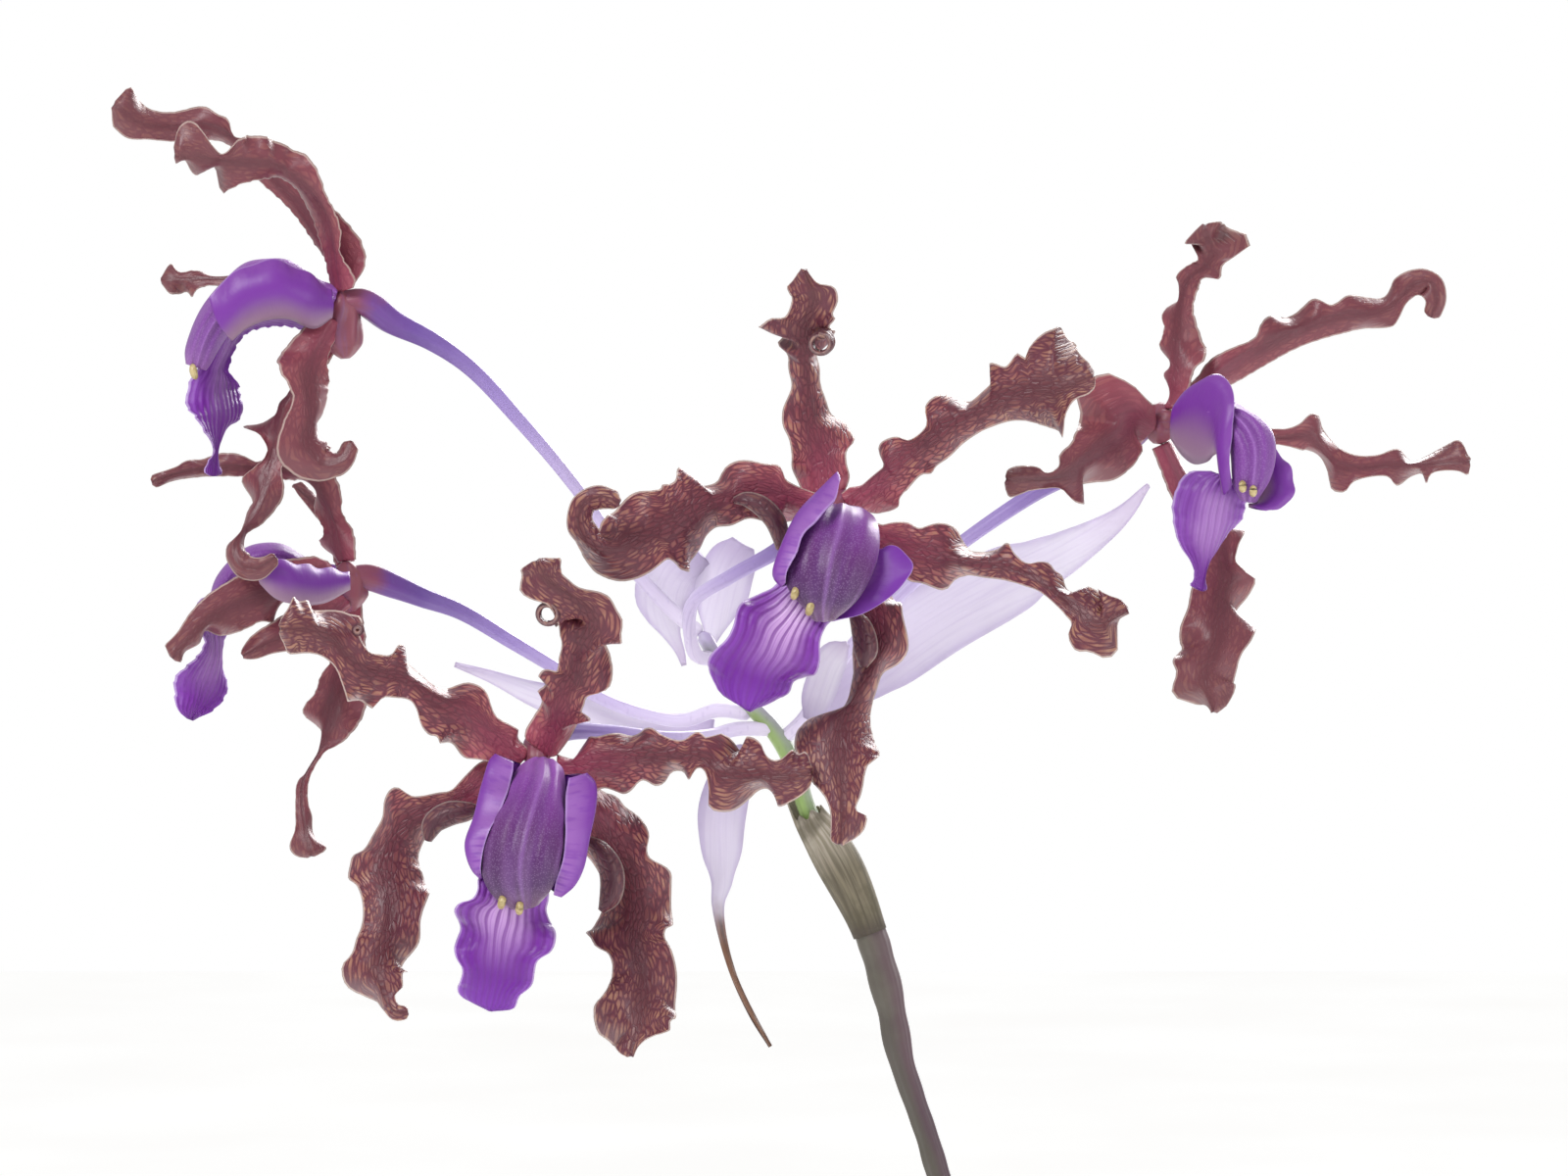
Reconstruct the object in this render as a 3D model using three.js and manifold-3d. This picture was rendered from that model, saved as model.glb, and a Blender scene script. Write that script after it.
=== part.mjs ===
import * as THREE from 'three';
import { mergeVertices } from 'three/addons/utils/BufferGeometryUtils.js';
import Module from 'manifold-3d';

// A potted Laelia splendida in flower, in millimetres, +Z up.
// The origin is the middle of the underside of the pot.

const wasm = await Module();
wasm.setup();

// Driving dimensions
const POT_HEIGHT = 130;
const POT_FOOT_RADIUS = 50;
const POT_BODY_RADIUS = 65;
const POT_RIM_RADIUS = 71;
const POT_RIM_HEIGHT = 24;
const POT_WALL = 6;
const POT_FLOOR = 8;
const DRAIN_HOLES = 3;
const DRAIN_RADIUS = 6;
const DRAIN_RING = 27;
const BARK_TOP = 99;
const GAP = 0.35;

const RHIZOME_RADIUS = 4.5;
const BULB_SPACING = 33;
const NEWEST_BULB_X = 29;
const BULB_RADIUS = 15;
const BULB_HEIGHTS = [150, 138, 118];

// The head of flowers is laid out on an upright sheet seen from the front, and each point also has
// a depth behind that sheet. Points farther back spread by their distance from the viewer.
const HEAD = new THREE.Vector3(-55, -50, 640);
const VIEW_DISTANCE = 800;

const TEPAL_THICKNESS = 1;
const LIP_THICKNESS = 1;
const BRACT_THICKNESS = 0.8;
const LEAF_THICKNESS = 2.6;
const COLUMN_BASE_RADIUS = 2.2;
const PEDICEL_RADIUS = 1.6;
const OVARY_RADIUS = 2.3;
const RECEPTACLE_BACK = 2.4;
const NECK_LENGTH = 2.5;
const TEPAL_STEPS = 11;

// Colours and finishes
function finish(colour, roughness) {
  return new THREE.MeshStandardMaterial({ color: colour, roughness, metalness: 0 });
}
const TEPAL = finish(0x7c4048, 0.45);
const LIP = finish(0x7d33b0, 0.45);
const COLUMN = finish(0x9760b8, 0.4);
const PEDICEL = finish(0x7f6db0, 0.5);
const BRACT = finish(0xd9cdea, 0.6);
const SCAPE = finish(0x76655e, 0.6);
const SHEATH = finish(0xb3b393, 0.75);
const BULB = finish(0x7f9148, 0.5);
const LEAF = finish(0x3f6b34, 0.4);
const RHIZOME = finish(0x77683f, 0.8);
const TERRACOTTA = finish(0xb5643c, 0.85);
const BARK = finish(0x6b4630, 0.95);

// A point of the head: right and up on the sheet, and depth behind it
function seen(right, up, depth) {
  const spread = 1 + depth / VIEW_DISTANCE;
  return new THREE.Vector3(HEAD.x + right * spread, HEAD.y + depth, HEAD.z + up * spread);
}

function signedVolume(position, index) {
  const a = new THREE.Vector3();
  const b = new THREE.Vector3();
  const c = new THREE.Vector3();
  let volume = 0;
  for (let i = 0; i < index.length; i += 3) {
    a.fromArray(position, index[i] * 3);
    b.fromArray(position, index[i + 1] * 3);
    c.fromArray(position, index[i + 2] * 3);
    volume += a.dot(b.cross(c)) / 6;
  }
  return volume;
}

// A closed solid through a row of rings that all have the same number of points
function loft(rings) {
  const count = rings[0].length;
  const position = [];
  const index = [];
  for (const ring of rings) {
    for (const point of ring) {
      position.push(point.x, point.y, point.z);
    }
  }
  for (let i = 0; i + 1 < rings.length; i += 1) {
    for (let k = 0; k < count; k += 1) {
      const next = (k + 1) % count;
      const a = i * count + k;
      const b = i * count + next;
      const c = a + count;
      const d = b + count;
      index.push(a, b, d, a, d, c);
    }
  }
  for (const end of [0, rings.length - 1]) {
    const middle = new THREE.Vector3();
    for (const point of rings[end]) {
      middle.addScaledVector(point, 1 / count);
    }
    const centre = position.length / 3;
    position.push(middle.x, middle.y, middle.z);
    for (let k = 0; k < count; k += 1) {
      const a = end * count + k;
      const b = end * count + (k + 1) % count;
      if (end === 0) {
        index.push(centre, b, a);
      } else {
        index.push(centre, a, b);
      }
    }
  }
  if (signedVolume(position, index) < 0) {
    for (let i = 0; i < index.length; i += 3) {
      [index[i], index[i + 1]] = [index[i + 1], index[i]];
    }
  }
  const geometry = new THREE.BufferGeometry();
  geometry.setAttribute('position', new THREE.Float32BufferAttribute(position, 3));
  geometry.setIndex(index);
  return geometry;
}

// A value between the entries of a list, with t from 0 to 1 along it
function between(values, t) {
  const place = Math.min(t * (values.length - 1), values.length - 1 - 1e-9);
  const k = Math.floor(place);
  return THREE.MathUtils.lerp(values[k], values[k + 1], place - k);
}

// Middle line, tangent and share of the way at even steps of a list of points
function stepsAlong(points, steps) {
  const curve = new THREE.CatmullRomCurve3(points, false, 'centripetal');
  const places = [];
  for (let i = 0; i <= steps; i += 1) {
    const t = i / steps;
    places.push({ t, point: curve.getPoint(t), tangent: curve.getTangent(t).normalize() });
  }
  return places;
}

// A thin blade. sideOf gives the direction of its left edge, and cup lifts its middle.
function blade(points, leftWidths, rightWidths, sideOf, thickness, cup, steps = TEPAL_STEPS) {
  const rings = [];
  for (const { t, point, tangent } of stepsAlong(points, steps)) {
    const side = sideOf(tangent, t);
    side.addScaledVector(tangent, -side.dot(tangent)).normalize();
    const normal = new THREE.Vector3().crossVectors(side, tangent).normalize();
    const left = between(leftWidths, t);
    const right = between(rightWidths, t);
    const lift = cup * Math.min(left, right);
    const leftEdge = point.clone().addScaledVector(side, left);
    const middle = point.clone().addScaledVector(normal, lift);
    const rightEdge = point.clone().addScaledVector(side, -right);
    const line = [leftEdge, middle, rightEdge];
    const front = line.map((p) => p.clone().addScaledVector(normal, thickness / 2));
    const back = line.map((p) => p.clone().addScaledVector(normal, -thickness / 2)).reverse();
    rings.push([...front, ...back]);
  }
  return loft(rings);
}

// A stalk: round or oval rings along a line
function stalk(points, radii, sides, steps, flat = 1, up = new THREE.Vector3(0, 0, 1)) {
  const rings = [];
  const across = new THREE.Vector3();
  for (const { t, point, tangent } of stepsAlong(points, steps)) {
    across.crossVectors(tangent, up).normalize();
    const over = new THREE.Vector3().crossVectors(across, tangent);
    const radius = between(radii, t);
    const ring = [];
    for (let k = 0; k < sides; k += 1) {
      const angle = (2 * Math.PI * k) / sides;
      const edge = point.clone();
      edge.addScaledVector(across, radius * Math.cos(angle));
      edge.addScaledVector(over, radius * flat * Math.sin(angle));
      ring.push(edge);
    }
    rings.push(ring);
  }
  return loft(rings);
}

// Booleans on closed geometry
function solid(geometry) {
  const bare = geometry.clone();
  bare.deleteAttribute('normal');
  bare.deleteAttribute('uv');
  const merged = mergeVertices(bare, 1e-4);
  const vertProperties = new Float32Array(merged.attributes.position.array);
  const triVerts = new Uint32Array(merged.index.array);
  return new wasm.Manifold(new wasm.Mesh({ numProp: 3, vertProperties, triVerts }));
}

function surface(manifold) {
  const mesh = manifold.getMesh();
  const geometry = new THREE.BufferGeometry();
  geometry.setAttribute('position', new THREE.BufferAttribute(new Float32Array(mesh.vertProperties), 3));
  geometry.setIndex([...mesh.triVerts]);
  return geometry;
}

const plant = new THREE.Group();

function add(name, geometry, material) {
  geometry.computeVertexNormals();
  const mesh = new THREE.Mesh(geometry, material);
  mesh.name = name;
  plant.add(mesh);
}

// Flowers
// centre is the middle of the flower on the sheet and its depth. yaw turns the face to the right and
// pitch lifts it. A tepal's rows go from base to tip: right, up and depth from the centre, then the
// width to the left and to the right of its middle line. turn is how far the blade is turned away
// from the sheet at its base and at its tip, in degrees.
const FLOWERS = {
  flower_1: {
    centre: [8.5, 13.5, 9],
    yaw: -9,
    pitch: -20,
    tepals: {
      dorsal_sepal: {
        turn: [0, 0],
        rows: [
          [-0.5, 4.5, 1.3, 3, 3], [-1.5, 9, 2, 5.5, 3.5], [-3, 14, 2, 5, 5], [-4.5, 20, 1, 2.5, 2.5],
          [-5, 26, -1, 3, 2.5], [-4.5, 30.5, -4, 6, 4.5], [-4, 36, -8, 3.5, 4], [-4.5, 40, -11, 2, 2],
        ],
      },
      right_petal: {
        turn: [0, 0],
        rows: [
          [3, 2.7, -0.5, 2, 2], [8, 7, -0.5, 2.5, 2.5], [12.5, 10, -1, 3, 4], [18, 13.5, -2, 5, 4.5],
          [24.5, 17.5, -3, 4, 4], [30, 19.5, -5, 5, 5], [36, 21.5, -7, 7.5, 7], [41, 22.5, -9, 4, 6.5],
          [44, 23, -10, 2, 2],
        ],
      },
      left_petal: {
        turn: [0, 0],
        rows: [
          [-3.8, 1.5, -0.5, 2, 2], [-10.5, 3.5, -0.5, 2.5, 3], [-15, 4.5, -1, 3, 4], [-20, 2, -3, 5, 4],
          [-25.5, -1, -5, 8, 7], [-32, -4, -8, 7, 6.5], [-38, -6, -11, 4.5, 5], [-42.5, -4, -13, 3, 3],
        ],
      },
      right_sepal: {
        turn: [0, 0],
        rows: [
          [4, -3.4, 1.3, 1.8, 1.8], [9, -6, 1, 3.5, 4.5], [14.5, -7.5, 0, 4.5, 4.5], [19.5, -8, -1, 4, 3],
          [26, -9, -3, 2.5, 3], [33, -11, -5, 2.5, 3], [39, -15, -8, 4, 3.5], [44, -19, -10, 5, 4.5],
          [49, -19.5, -11, 3, 3.5],
        ],
      },
      left_sepal: {
        turn: [0, 0],
        rows: [
          [-0.7, -5, 1.3, 1.8, 1.8], [3, -10.5, 2.5, 3.5, 3.5], [6.5, -16.5, 2, 5, 4],
          [8.5, -22, 0, 3.5, 5], [5.5, -29, -2, 4, 4.5], [2, -36, -4, 5, 7.5], [1.5, -43, -7, 5, 6],
          [2, -50, -10, 3, 3.5], [2, -56, -12, 2.5, 2.5],
        ],
      },
    },
    pedicel: [[6.5, 12.8, 18.5], [-1, 6.5, 25], [-9, 2, 31], [-15.5, -2.5, 39], [-16, -8, 44],
      [-14.8, -11.5, 46.5]],
  },
  flower_2: {
    centre: [-42, -29, 8],
    yaw: -8,
    pitch: -45,
    tepals: {
      dorsal_sepal: {
        turn: [0, 0],
        rows: [
          [1.3, 4.7, -2.5, 2.5, 2.5], [4, 9, -5, 4, 4], [5.5, 14, -8, 4, 5], [6.5, 19, -12, 4.5, 6],
          [8, 24, -16, 5.5, 6], [5, 29, -19, 4, 4.5], [0.5, 32.5, -22, 3, 3],
        ],
      },
      left_petal: {
        turn: [0, 0],
        rows: [
          [-3.8, 2, -2.5, 2, 2], [-8, 5.5, -4, 4, 3.5], [-14.5, 9.5, -5, 4.5, 4],
          [-21.5, 11.5, -6, 2.5, 4.5], [-28, 14, -8, 4.5, 3.5], [-33, 18, -10, 4, 5],
          [-38, 22, -12, 4.5, 4], [-43.5, 24, -14, 3, 2.5],
        ],
      },
      right_petal: {
        turn: [0, 0],
        rows: [
          [4.6, 0.8, -2, 2, 2], [12, 1, -3, 3.5, 4], [19, 1.5, -4, 4, 4.5], [26, 2, -5, 3, 2.5],
          [31, 0, -7, 4, 6], [38, -2, -9, 3.5, 4.5], [46, -2.5, -11, 2.5, 3],
        ],
      },
      left_sepal: {
        turn: [0, 0],
        rows: [
          [-4.6, -2.3, 3.4, 2, 2], [-12, -4.5, 5, 2.5, 2.5], [-20, -7, 6, 4, 3.5], [-25.5, -13, 6, 6, 5.5],
          [-26, -21, 4, 6.5, 5.5], [-27, -29, 1, 6, 4], [-27, -36, -2, 5, 5.5], [-25.5, -41, -4, 2, 2.5],
        ],
      },
      right_sepal: {
        turn: [0, 0],
        rows: [
          [4.7, -3.5, 3.8, 2, 2], [10.5, -8, 6, 4.5, 4], [15.5, -16, 7, 6, 6], [17, -24, 6, 6, 4.5],
          [17, -31, 3, 6, 7], [17.5, -38, 0, 6, 5], [17, -45, -3, 5.5, 5], [16.5, -50, -6, 1.5, 1.5],
        ],
      },
    },
    pedicel: [[-39, -24.5, 14], [-30, -24.5, 26], [-19, -25.5, 38], [-12, -25, 45], [-8, -24, 47.5]],
  },
  flower_3: {
    centre: [65, 28.5, 38],
    yaw: 40,
    pitch: -5,
    tepals: {
      dorsal_sepal: {
        turn: [40, 20],
        rows: [
          [-0.6, 4.6, 1, 3, 3], [1.5, 11.5, 1, 4, 4], [2.5, 19, 0, 4.5, 4], [4, 25, -2, 4, 4],
          [7, 28, -5, 4, 4], [8, 31.5, -8, 5, 4],
        ],
      },
      right_petal: {
        turn: [-20, 0],
        rows: [
          [3.2, 3.2, 2, 2, 2], [10, 8, 4, 3, 3], [20, 13.5, 7, 3.5, 3], [29.5, 17.5, 9, 3, 2.5],
          [38, 18.5, 10, 3, 3], [43, 18.5, 9, 3, 3],
        ],
      },
      left_petal: {
        turn: [20, 0],
        rows: [
          [-3.4, 1.8, -3.2, 2, 2], [-8.5, 0.5, -6, 4, 4.5], [-13, -4.5, -9, 5, 5], [-19, -8.5, -13, 3, 3],
          [-26, -8, -17, 2.5, 2.5],
        ],
      },
      right_sepal: {
        turn: [0, 0],
        rows: [
          [2.4, -2.5, 3.6, 2, 2], [10, -3, 8, 2.5, 2.5], [18, -3.5, 11, 2.5, 2.5], [26, -5, 13, 3.5, 3.5],
          [32, -8, 14, 3, 3], [39, -7.5, 13, 3, 3], [45, -7.5, 12, 2.5, 2.5], [51.5, -6.5, 10, 2, 2],
        ],
      },
      left_sepal: {
        turn: [30, 0],
        rows: [
          [-1.6, -4.7, 0.6, 2, 2], [3, -12, 2, 3.5, 3.5], [8.5, -20, 1, 4.5, 4.5], [10, -28, -2, 5.5, 5.5],
          [8, -36, -6, 6, 6], [6.5, -43, -10, 5, 5], [8, -49, -13, 1.5, 1.5],
        ],
      },
    },
    pedicel: [[58.5, 25.5, 45], [50, 20, 48], [42.5, 16, 50], [30, 7.5, 51], [21.5, 0.5, 51],
      [11.5, -10, 50.5], [6, -18, 50], [3.2, -22.5, 50]],
  },
  flower_4: {
    centre: [-76, 48.5, 40],
    yaw: -85,
    pitch: -2,
    tepals: {
      dorsal_sepal: {
        turn: [65, 0],
        rows: [
          [1.4, 4.8, 0.5, 3, 3], [-2, 12, 1.5, 4, 4], [-8, 19, 3, 4.5, 4.5], [-15, 27, 4, 4, 4],
          [-24, 31, 4, 3.5, 3.5], [-32, 31.5, 3, 3.5, 3.5], [-37.5, 33, 2, 3, 3],
        ],
      },
      left_petal: {
        turn: [60, 20],
        rows: [
          [-0.5, 2.8, -3.6, 2, 2], [0.5, 10, -6, 4, 4], [-1.5, 18, -9, 4.5, 4.5],
          [-7.5, 23.5, -12, 4.5, 4.5], [-16, 25.5, -14, 4, 4], [-22.5, 26, -15, 4, 4],
          [-27.5, 25, -16, 2, 2],
        ],
      },
      right_petal: {
        turn: [-60, -20],
        rows: [
          [-0.5, 2, 4.3, 2, 2], [-8, 3, 9, 3, 3], [-17, 4, 12, 3, 3], [-25, 3.5, 14, 2.5, 2.5],
          [-30, 4, 15, 2, 2],
        ],
      },
      left_sepal: {
        turn: [50, 15],
        rows: [
          [1.4, -3.3, -3.4, 2, 2], [-1, -8, -6, 4, 4], [-5, -13, -9, 5, 5], [-3.5, -19, -11, 5, 4],
          [-4.5, -24.5, -13, 4.5, 4.5], [-4, -28, -14, 2, 2],
        ],
      },
      right_sepal: {
        turn: [-50, 0],
        rows: [
          [1.4, -4, 2.6, 2, 2], [-4, -10, 3.5, 3, 3], [-9, -18, 3, 4, 4], [-11, -24, 2, 4, 4],
          [-12.5, -30, 1, 4, 4], [-14.5, -36, -1, 3, 3], [-17.5, -42, -3, 2, 2],
        ],
      },
    },
    pedicel: [[-66.5, 45.2, 42], [-60, 42, 43], [-53.5, 37.5, 44], [-45, 28.5, 46],
      [-36.5, 18.5, 48], [-31.5, 11.5, 50], [-25, 2.5, 51.5], [-18, -4.8, 52]],
  },
  flower_5: {
    centre: [-75, 1.5, 57],
    yaw: -75,
    pitch: -4,
    tepals: {
      dorsal_sepal: {
        turn: [60, 0],
        rows: [
          [1.5, 4.8, 0.5, 3, 3], [0, 9.5, 1, 3.5, 3.5], [-2.5, 15.5, 1, 3, 3], [-7, 19, 0, 2.5, 2.5],
          [-14, 20, -1, 2, 2], [-22, 19, -2, 2, 2], [-31, 18, -3, 1.5, 1.5],
        ],
      },
      left_petal: {
        turn: [40, 0],
        rows: [
          [-1.4, 1.5, -4.4, 2, 2], [-8, -0.5, -10.5, 3, 3], [-16, -3, -15, 3.5, 3.5],
          [-22, -6.5, -17, 3.5, 3.5], [-29, -13, -18, 3, 3],
        ],
      },
      right_petal: {
        turn: [-40, 0],
        rows: [[0.4, 2.4, 4, 2, 2], [-3, 8, 8, 3, 3], [-6, 12.5, 12, 3, 3], [-9.5, 16, 16, 2, 2]],
      },
      left_sepal: {
        turn: [40, 0],
        rows: [
          [0.6, -3.6, -3, 2, 2], [-4, -8, -9.5, 3, 3], [-9.5, -10.5, -15.5, 3.2, 3.2],
          [-14, -12, -17.5, 3, 3], [-17, -13, -18, 1.5, 1.5],
        ],
      },
      right_sepal: {
        turn: [-40, 0],
        rows: [
          [2, -4.2, 2.8, 2, 2], [0.5, -10, 4, 3.5, 3.5], [-1.5, -17, 4, 4, 4], [-1.5, -23, 3, 5, 4.5],
          [-4, -30, 2, 2.5, 3], [-7, -38, 0, 1.5, 1.5], [-6, -44, -2, 3.5, 3.5],
        ],
      },
    },
    pedicel: [[-65, -0.6, 59.2], [-61, -2.5, 59.6], [-55, -4, 60], [-46.5, -9, 60], [-39, -13.5, 59],
      [-31.5, -18.5, 57.5], [-23.5, -21.5, 56], [-17, -22.5, 54], [-11.2, -20.8, 52]],
  },
};

// The forward, right and up directions of a flower's face
function face(yaw, pitch) {
  const turned = THREE.MathUtils.degToRad(yaw);
  const lifted = THREE.MathUtils.degToRad(pitch);
  const forward = new THREE.Vector3(
    Math.sin(turned) * Math.cos(lifted),
    -Math.cos(turned) * Math.cos(lifted),
    Math.sin(lifted),
  );
  const right = new THREE.Vector3(Math.cos(turned), Math.sin(turned), 0);
  const up = new THREE.Vector3().crossVectors(forward, right);
  return { forward, right, up };
}

function tepal(centre, { rows, turn }) {
  const points = rows.map(([right, up, depth]) => seen(
    centre[0] + right,
    centre[1] + up,
    centre[2] + depth,
  ));
  const leftWidths = rows.map((row) => row[3]);
  const rightWidths = rows.map((row) => row[4]);
  const sideOf = (tangent, t) => {
    const angle = THREE.MathUtils.degToRad(THREE.MathUtils.lerp(turn[0], turn[1], t));
    const side = new THREE.Vector3(-tangent.z, 0, tangent.x).normalize();
    return side.multiplyScalar(Math.cos(angle)).add(new THREE.Vector3(0, Math.sin(angle), 0));
  };
  return blade(points, leftWidths, rightWidths, sideOf, TEPAL_THICKNESS, 0.12);
}

// The column arches forward and down over the lip. Each row is forward, up and radius.
const COLUMN_ROWS = [
  [1.4, 0, COLUMN_BASE_RADIUS], [6, 2, 4.4], [11, 2.5, 6.6], [16, 0.5, 7.2], [20, -4, 6.4], [22.5, -10, 3.2],
];
const COLUMN_FLAT = 0.55;

function column(origin, { forward, right, up }) {
  const points = COLUMN_ROWS.map(([out, rise]) => origin.clone()
    .addScaledVector(forward, out)
    .addScaledVector(up, rise));
  const radii = COLUMN_ROWS.map((row) => row[2]);
  return stalk(points, radii, 10, 8, COLUMN_FLAT, up.clone().addScaledVector(forward, 0.6).normalize());
}

// The lip runs under the column, with side lobes that stand up beside it and a broad hanging end.
// Each row is forward, up, half width and the height of the raised sides.
const LIP_ROWS = [
  [0.9, -3.4, 1.6, 0.3], [6, -3.4, 5.6, 3], [11, -3.6, 8.6, 5.5], [14.5, -5, 9.4, 5],
  [17, -9, 8.4, 2.5], [18.5, -14, 7.6, 0.5], [20, -19, 9, -0.5], [21, -25, 9, -0.8],
  [21.5, -30, 4, -0.5],
];
const LIP_STEPS = 12;
const LIP_WALL_AT = 0.94;
const LIP_WALL_FOOT = 0.2;

function lip(origin, { forward, right, up }) {
  const points = LIP_ROWS.map(([out, rise]) => origin.clone()
    .addScaledVector(forward, out)
    .addScaledVector(up, rise));
  const halves = LIP_ROWS.map((row) => row[2]);
  const raises = LIP_ROWS.map((row) => row[3]);
  const rings = [];
  for (const { t, point, tangent } of stepsAlong(points, LIP_STEPS)) {
    const over = new THREE.Vector3().crossVectors(right, tangent).normalize();
    const half = between(halves, t);
    const raise = between(raises, t);
    const section = [[-half, raise], [-half * LIP_WALL_AT, raise * LIP_WALL_FOOT], [0, 0],
      [half * LIP_WALL_AT, raise * LIP_WALL_FOOT], [half, raise]];
    const outward = [[-1, 0], [-0.7, -0.7], [0, -1], [0.7, -0.7], [1, 0]];
    const wall = raise > 1;
    const place = (across, height) => point.clone()
      .addScaledVector(right, across)
      .addScaledVector(over, height);
    const inner = section.map(([across, height]) => place(across, height));
    const outer = section.map(([across, height], k) => {
      const [dx, dy] = wall ? outward[k] : [0, -1];
      return place(across + dx * LIP_THICKNESS, height + dy * LIP_THICKNESS);
    });
    rings.push([...inner, ...outer.reverse()]);
  }
  return loft(rings);
}

function pedicel(origin, forward, route) {
  const start = origin.clone().addScaledVector(forward, -RECEPTACLE_BACK);
  const neck = origin.clone().addScaledVector(forward, -RECEPTACLE_BACK - NECK_LENGTH);
  const points = [start, neck, ...route.map(([right, up, depth]) => seen(right, up, depth))];
  const radii = [OVARY_RADIUS, OVARY_RADIUS, OVARY_RADIUS * 0.95, PEDICEL_RADIUS, PEDICEL_RADIUS,
    PEDICEL_RADIUS, PEDICEL_RADIUS];
  return stalk(points, radii, 8, 12);
}

for (const [name, flower] of Object.entries(FLOWERS)) {
  const origin = seen(...flower.centre);
  const look = face(flower.yaw, flower.pitch);
  for (const [piece, shape] of Object.entries(flower.tepals)) {
    add(`${name}_${piece}`, tepal(flower.centre, shape), TEPAL);
  }
  add(`${name}_lip`, lip(origin, look), LIP);
  add(`${name}_column`, column(origin, look), COLUMN);
  add(`${name}_pedicel`, pedicel(origin, look.forward, flower.pedicel), PEDICEL);
}

// Floral bracts. Each row is right, up, depth and half width.
const BRACTS = {
  right_bract: [[5.5, -20, 57, 2], [13.5, -14.5, 60, 5], [25, -6, 64, 6.5], [36.5, 0.5, 67, 6.5],
    [48.5, 6.5, 70, 5], [58.5, 12, 72, 2.5], [62, 16.5, 74, 0.6]],
  left_bract: [[-12, -24.5, 58, 2], [-17, -25, 60, 2.5], [-25, -24, 62, 2.5], [-33, -21, 64, 2.5],
    [-42.5, -18, 65, 2], [-50, -16, 66, 1.5], [-56, -13.5, 66, 0.5]],
  hanging_bract: [[-7.5, -28.5, 45, 1.5], [-9, -32, 43, 3.5], [-10.5, -39, 41, 4],
    [-10.5, -46, 40, 3.5], [-10.5, -52, 39, 1.5], [-11, -58, 38, 0.9], [-9, -65, 37, 0.8],
    [-6, -72, 37, 0.7], [-2.5, -78, 37, 0.5]],
  upper_bract: [[-11, -9, 54.5, 1.5], [-12.5, -4, 57, 4], [-15, 0, 59, 5.5], [-18, 2.5, 60, 5],
    [-22.5, 3.5, 61, 3], [-28, 2.5, 61, 0.8]],
  small_bract: [[4.5, -22.5, 45, 1.2], [6.5, -17, 44, 3], [8.5, -12, 43, 3], [11.5, -9.5, 42, 0.8]],
};

for (const [name, rows] of Object.entries(BRACTS)) {
  const points = rows.map(([right, up, depth]) => seen(right, up, depth));
  const widths = rows.map((row) => row[3]);
  const sideOf = (tangent) => new THREE.Vector3(-tangent.z, 0, tangent.x).normalize();
  add(name, blade(points, widths, widths, sideOf, BRACT_THICKNESS, 0.2), BRACT);
}

// Bulbs stand on the rhizome in a row, the newest to the right, each a little less tall
const BARK_CLEAR = BARK_TOP + GAP;
const RHIZOME_Z = BARK_CLEAR + RHIZOME_RADIUS;
const BULB_FOOT = RHIZOME_Z + RHIZOME_RADIUS + GAP;
const BULB_LEAN = [2, -3, -9];
const BULB_PROFILE = [0.3, 0.55, 0.8, 0.95, 1, 0.97, 0.86, 0.66, 0.42, 0.3];
const BULB_NAMES = ['newest_pseudobulb', 'second_pseudobulb', 'oldest_pseudobulb'];

const bulbs = BULB_HEIGHTS.map((height, k) => {
  const x = NEWEST_BULB_X - k * BULB_SPACING;
  const foot = new THREE.Vector3(x, 0, BULB_FOOT);
  const top = new THREE.Vector3(x + BULB_LEAN[k], 0, BULB_FOOT + height);
  return { foot, top };
});
const AWAY = new THREE.Vector3(0, 1, 0);

bulbs.forEach(({ foot, top }, k) => {
  const middle = foot.clone().lerp(top, 0.5);
  const radii = BULB_PROFILE.map((share) => share * BULB_RADIUS);
  add(BULB_NAMES[k], stalk([foot, middle, top], radii, 14, 11, 1, AWAY), BULB);
});

// The scape rises from the newest bulb and leans to the left. Its upper part follows the sheet.
const HEAD_STEM = [
  [27.5, -100, 50, 2.9], [24, -91.5, 50, 2.9], [20, -81, 50, 2.8], [17, -70, 50, 2.8], [15, -60, 50, 2.9],
  [12, -51, 50, 2.9], [8.5, -44, 50, 2.8], [5, -36.5, 50, 2.6], [2, -30, 50, 2.2], [-1.5, -24.5, 50, 1.9],
  [-6, -19.5, 50, 1.8], [-9, -15, 50, 1.7], [-12, -11, 50, 1.6], [-14, -7.5, 50, 1.5],
];
const scapeFoot = bulbs[0].top.clone().add(new THREE.Vector3(0, 0, GAP));
const scapePoints = [
  scapeFoot,
  scapeFoot.clone().add(new THREE.Vector3(-3, 0, 40)),
  scapeFoot.clone().add(new THREE.Vector3(-11, 0, 100)),
  scapeFoot.clone().add(new THREE.Vector3(-23, 0, 160)),
  scapeFoot.clone().add(new THREE.Vector3(-39, 0, 220)),
  ...HEAD_STEM.map(([right, up, depth]) => seen(right, up, depth)),
];
const scapeRadii = [3.6, 3.5, 3.3, 3.2, 3, ...HEAD_STEM.map((row) => row[3])];
add('scape', stalk(scapePoints, scapeRadii, 10, 34, 1, AWAY), SCAPE);

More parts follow.
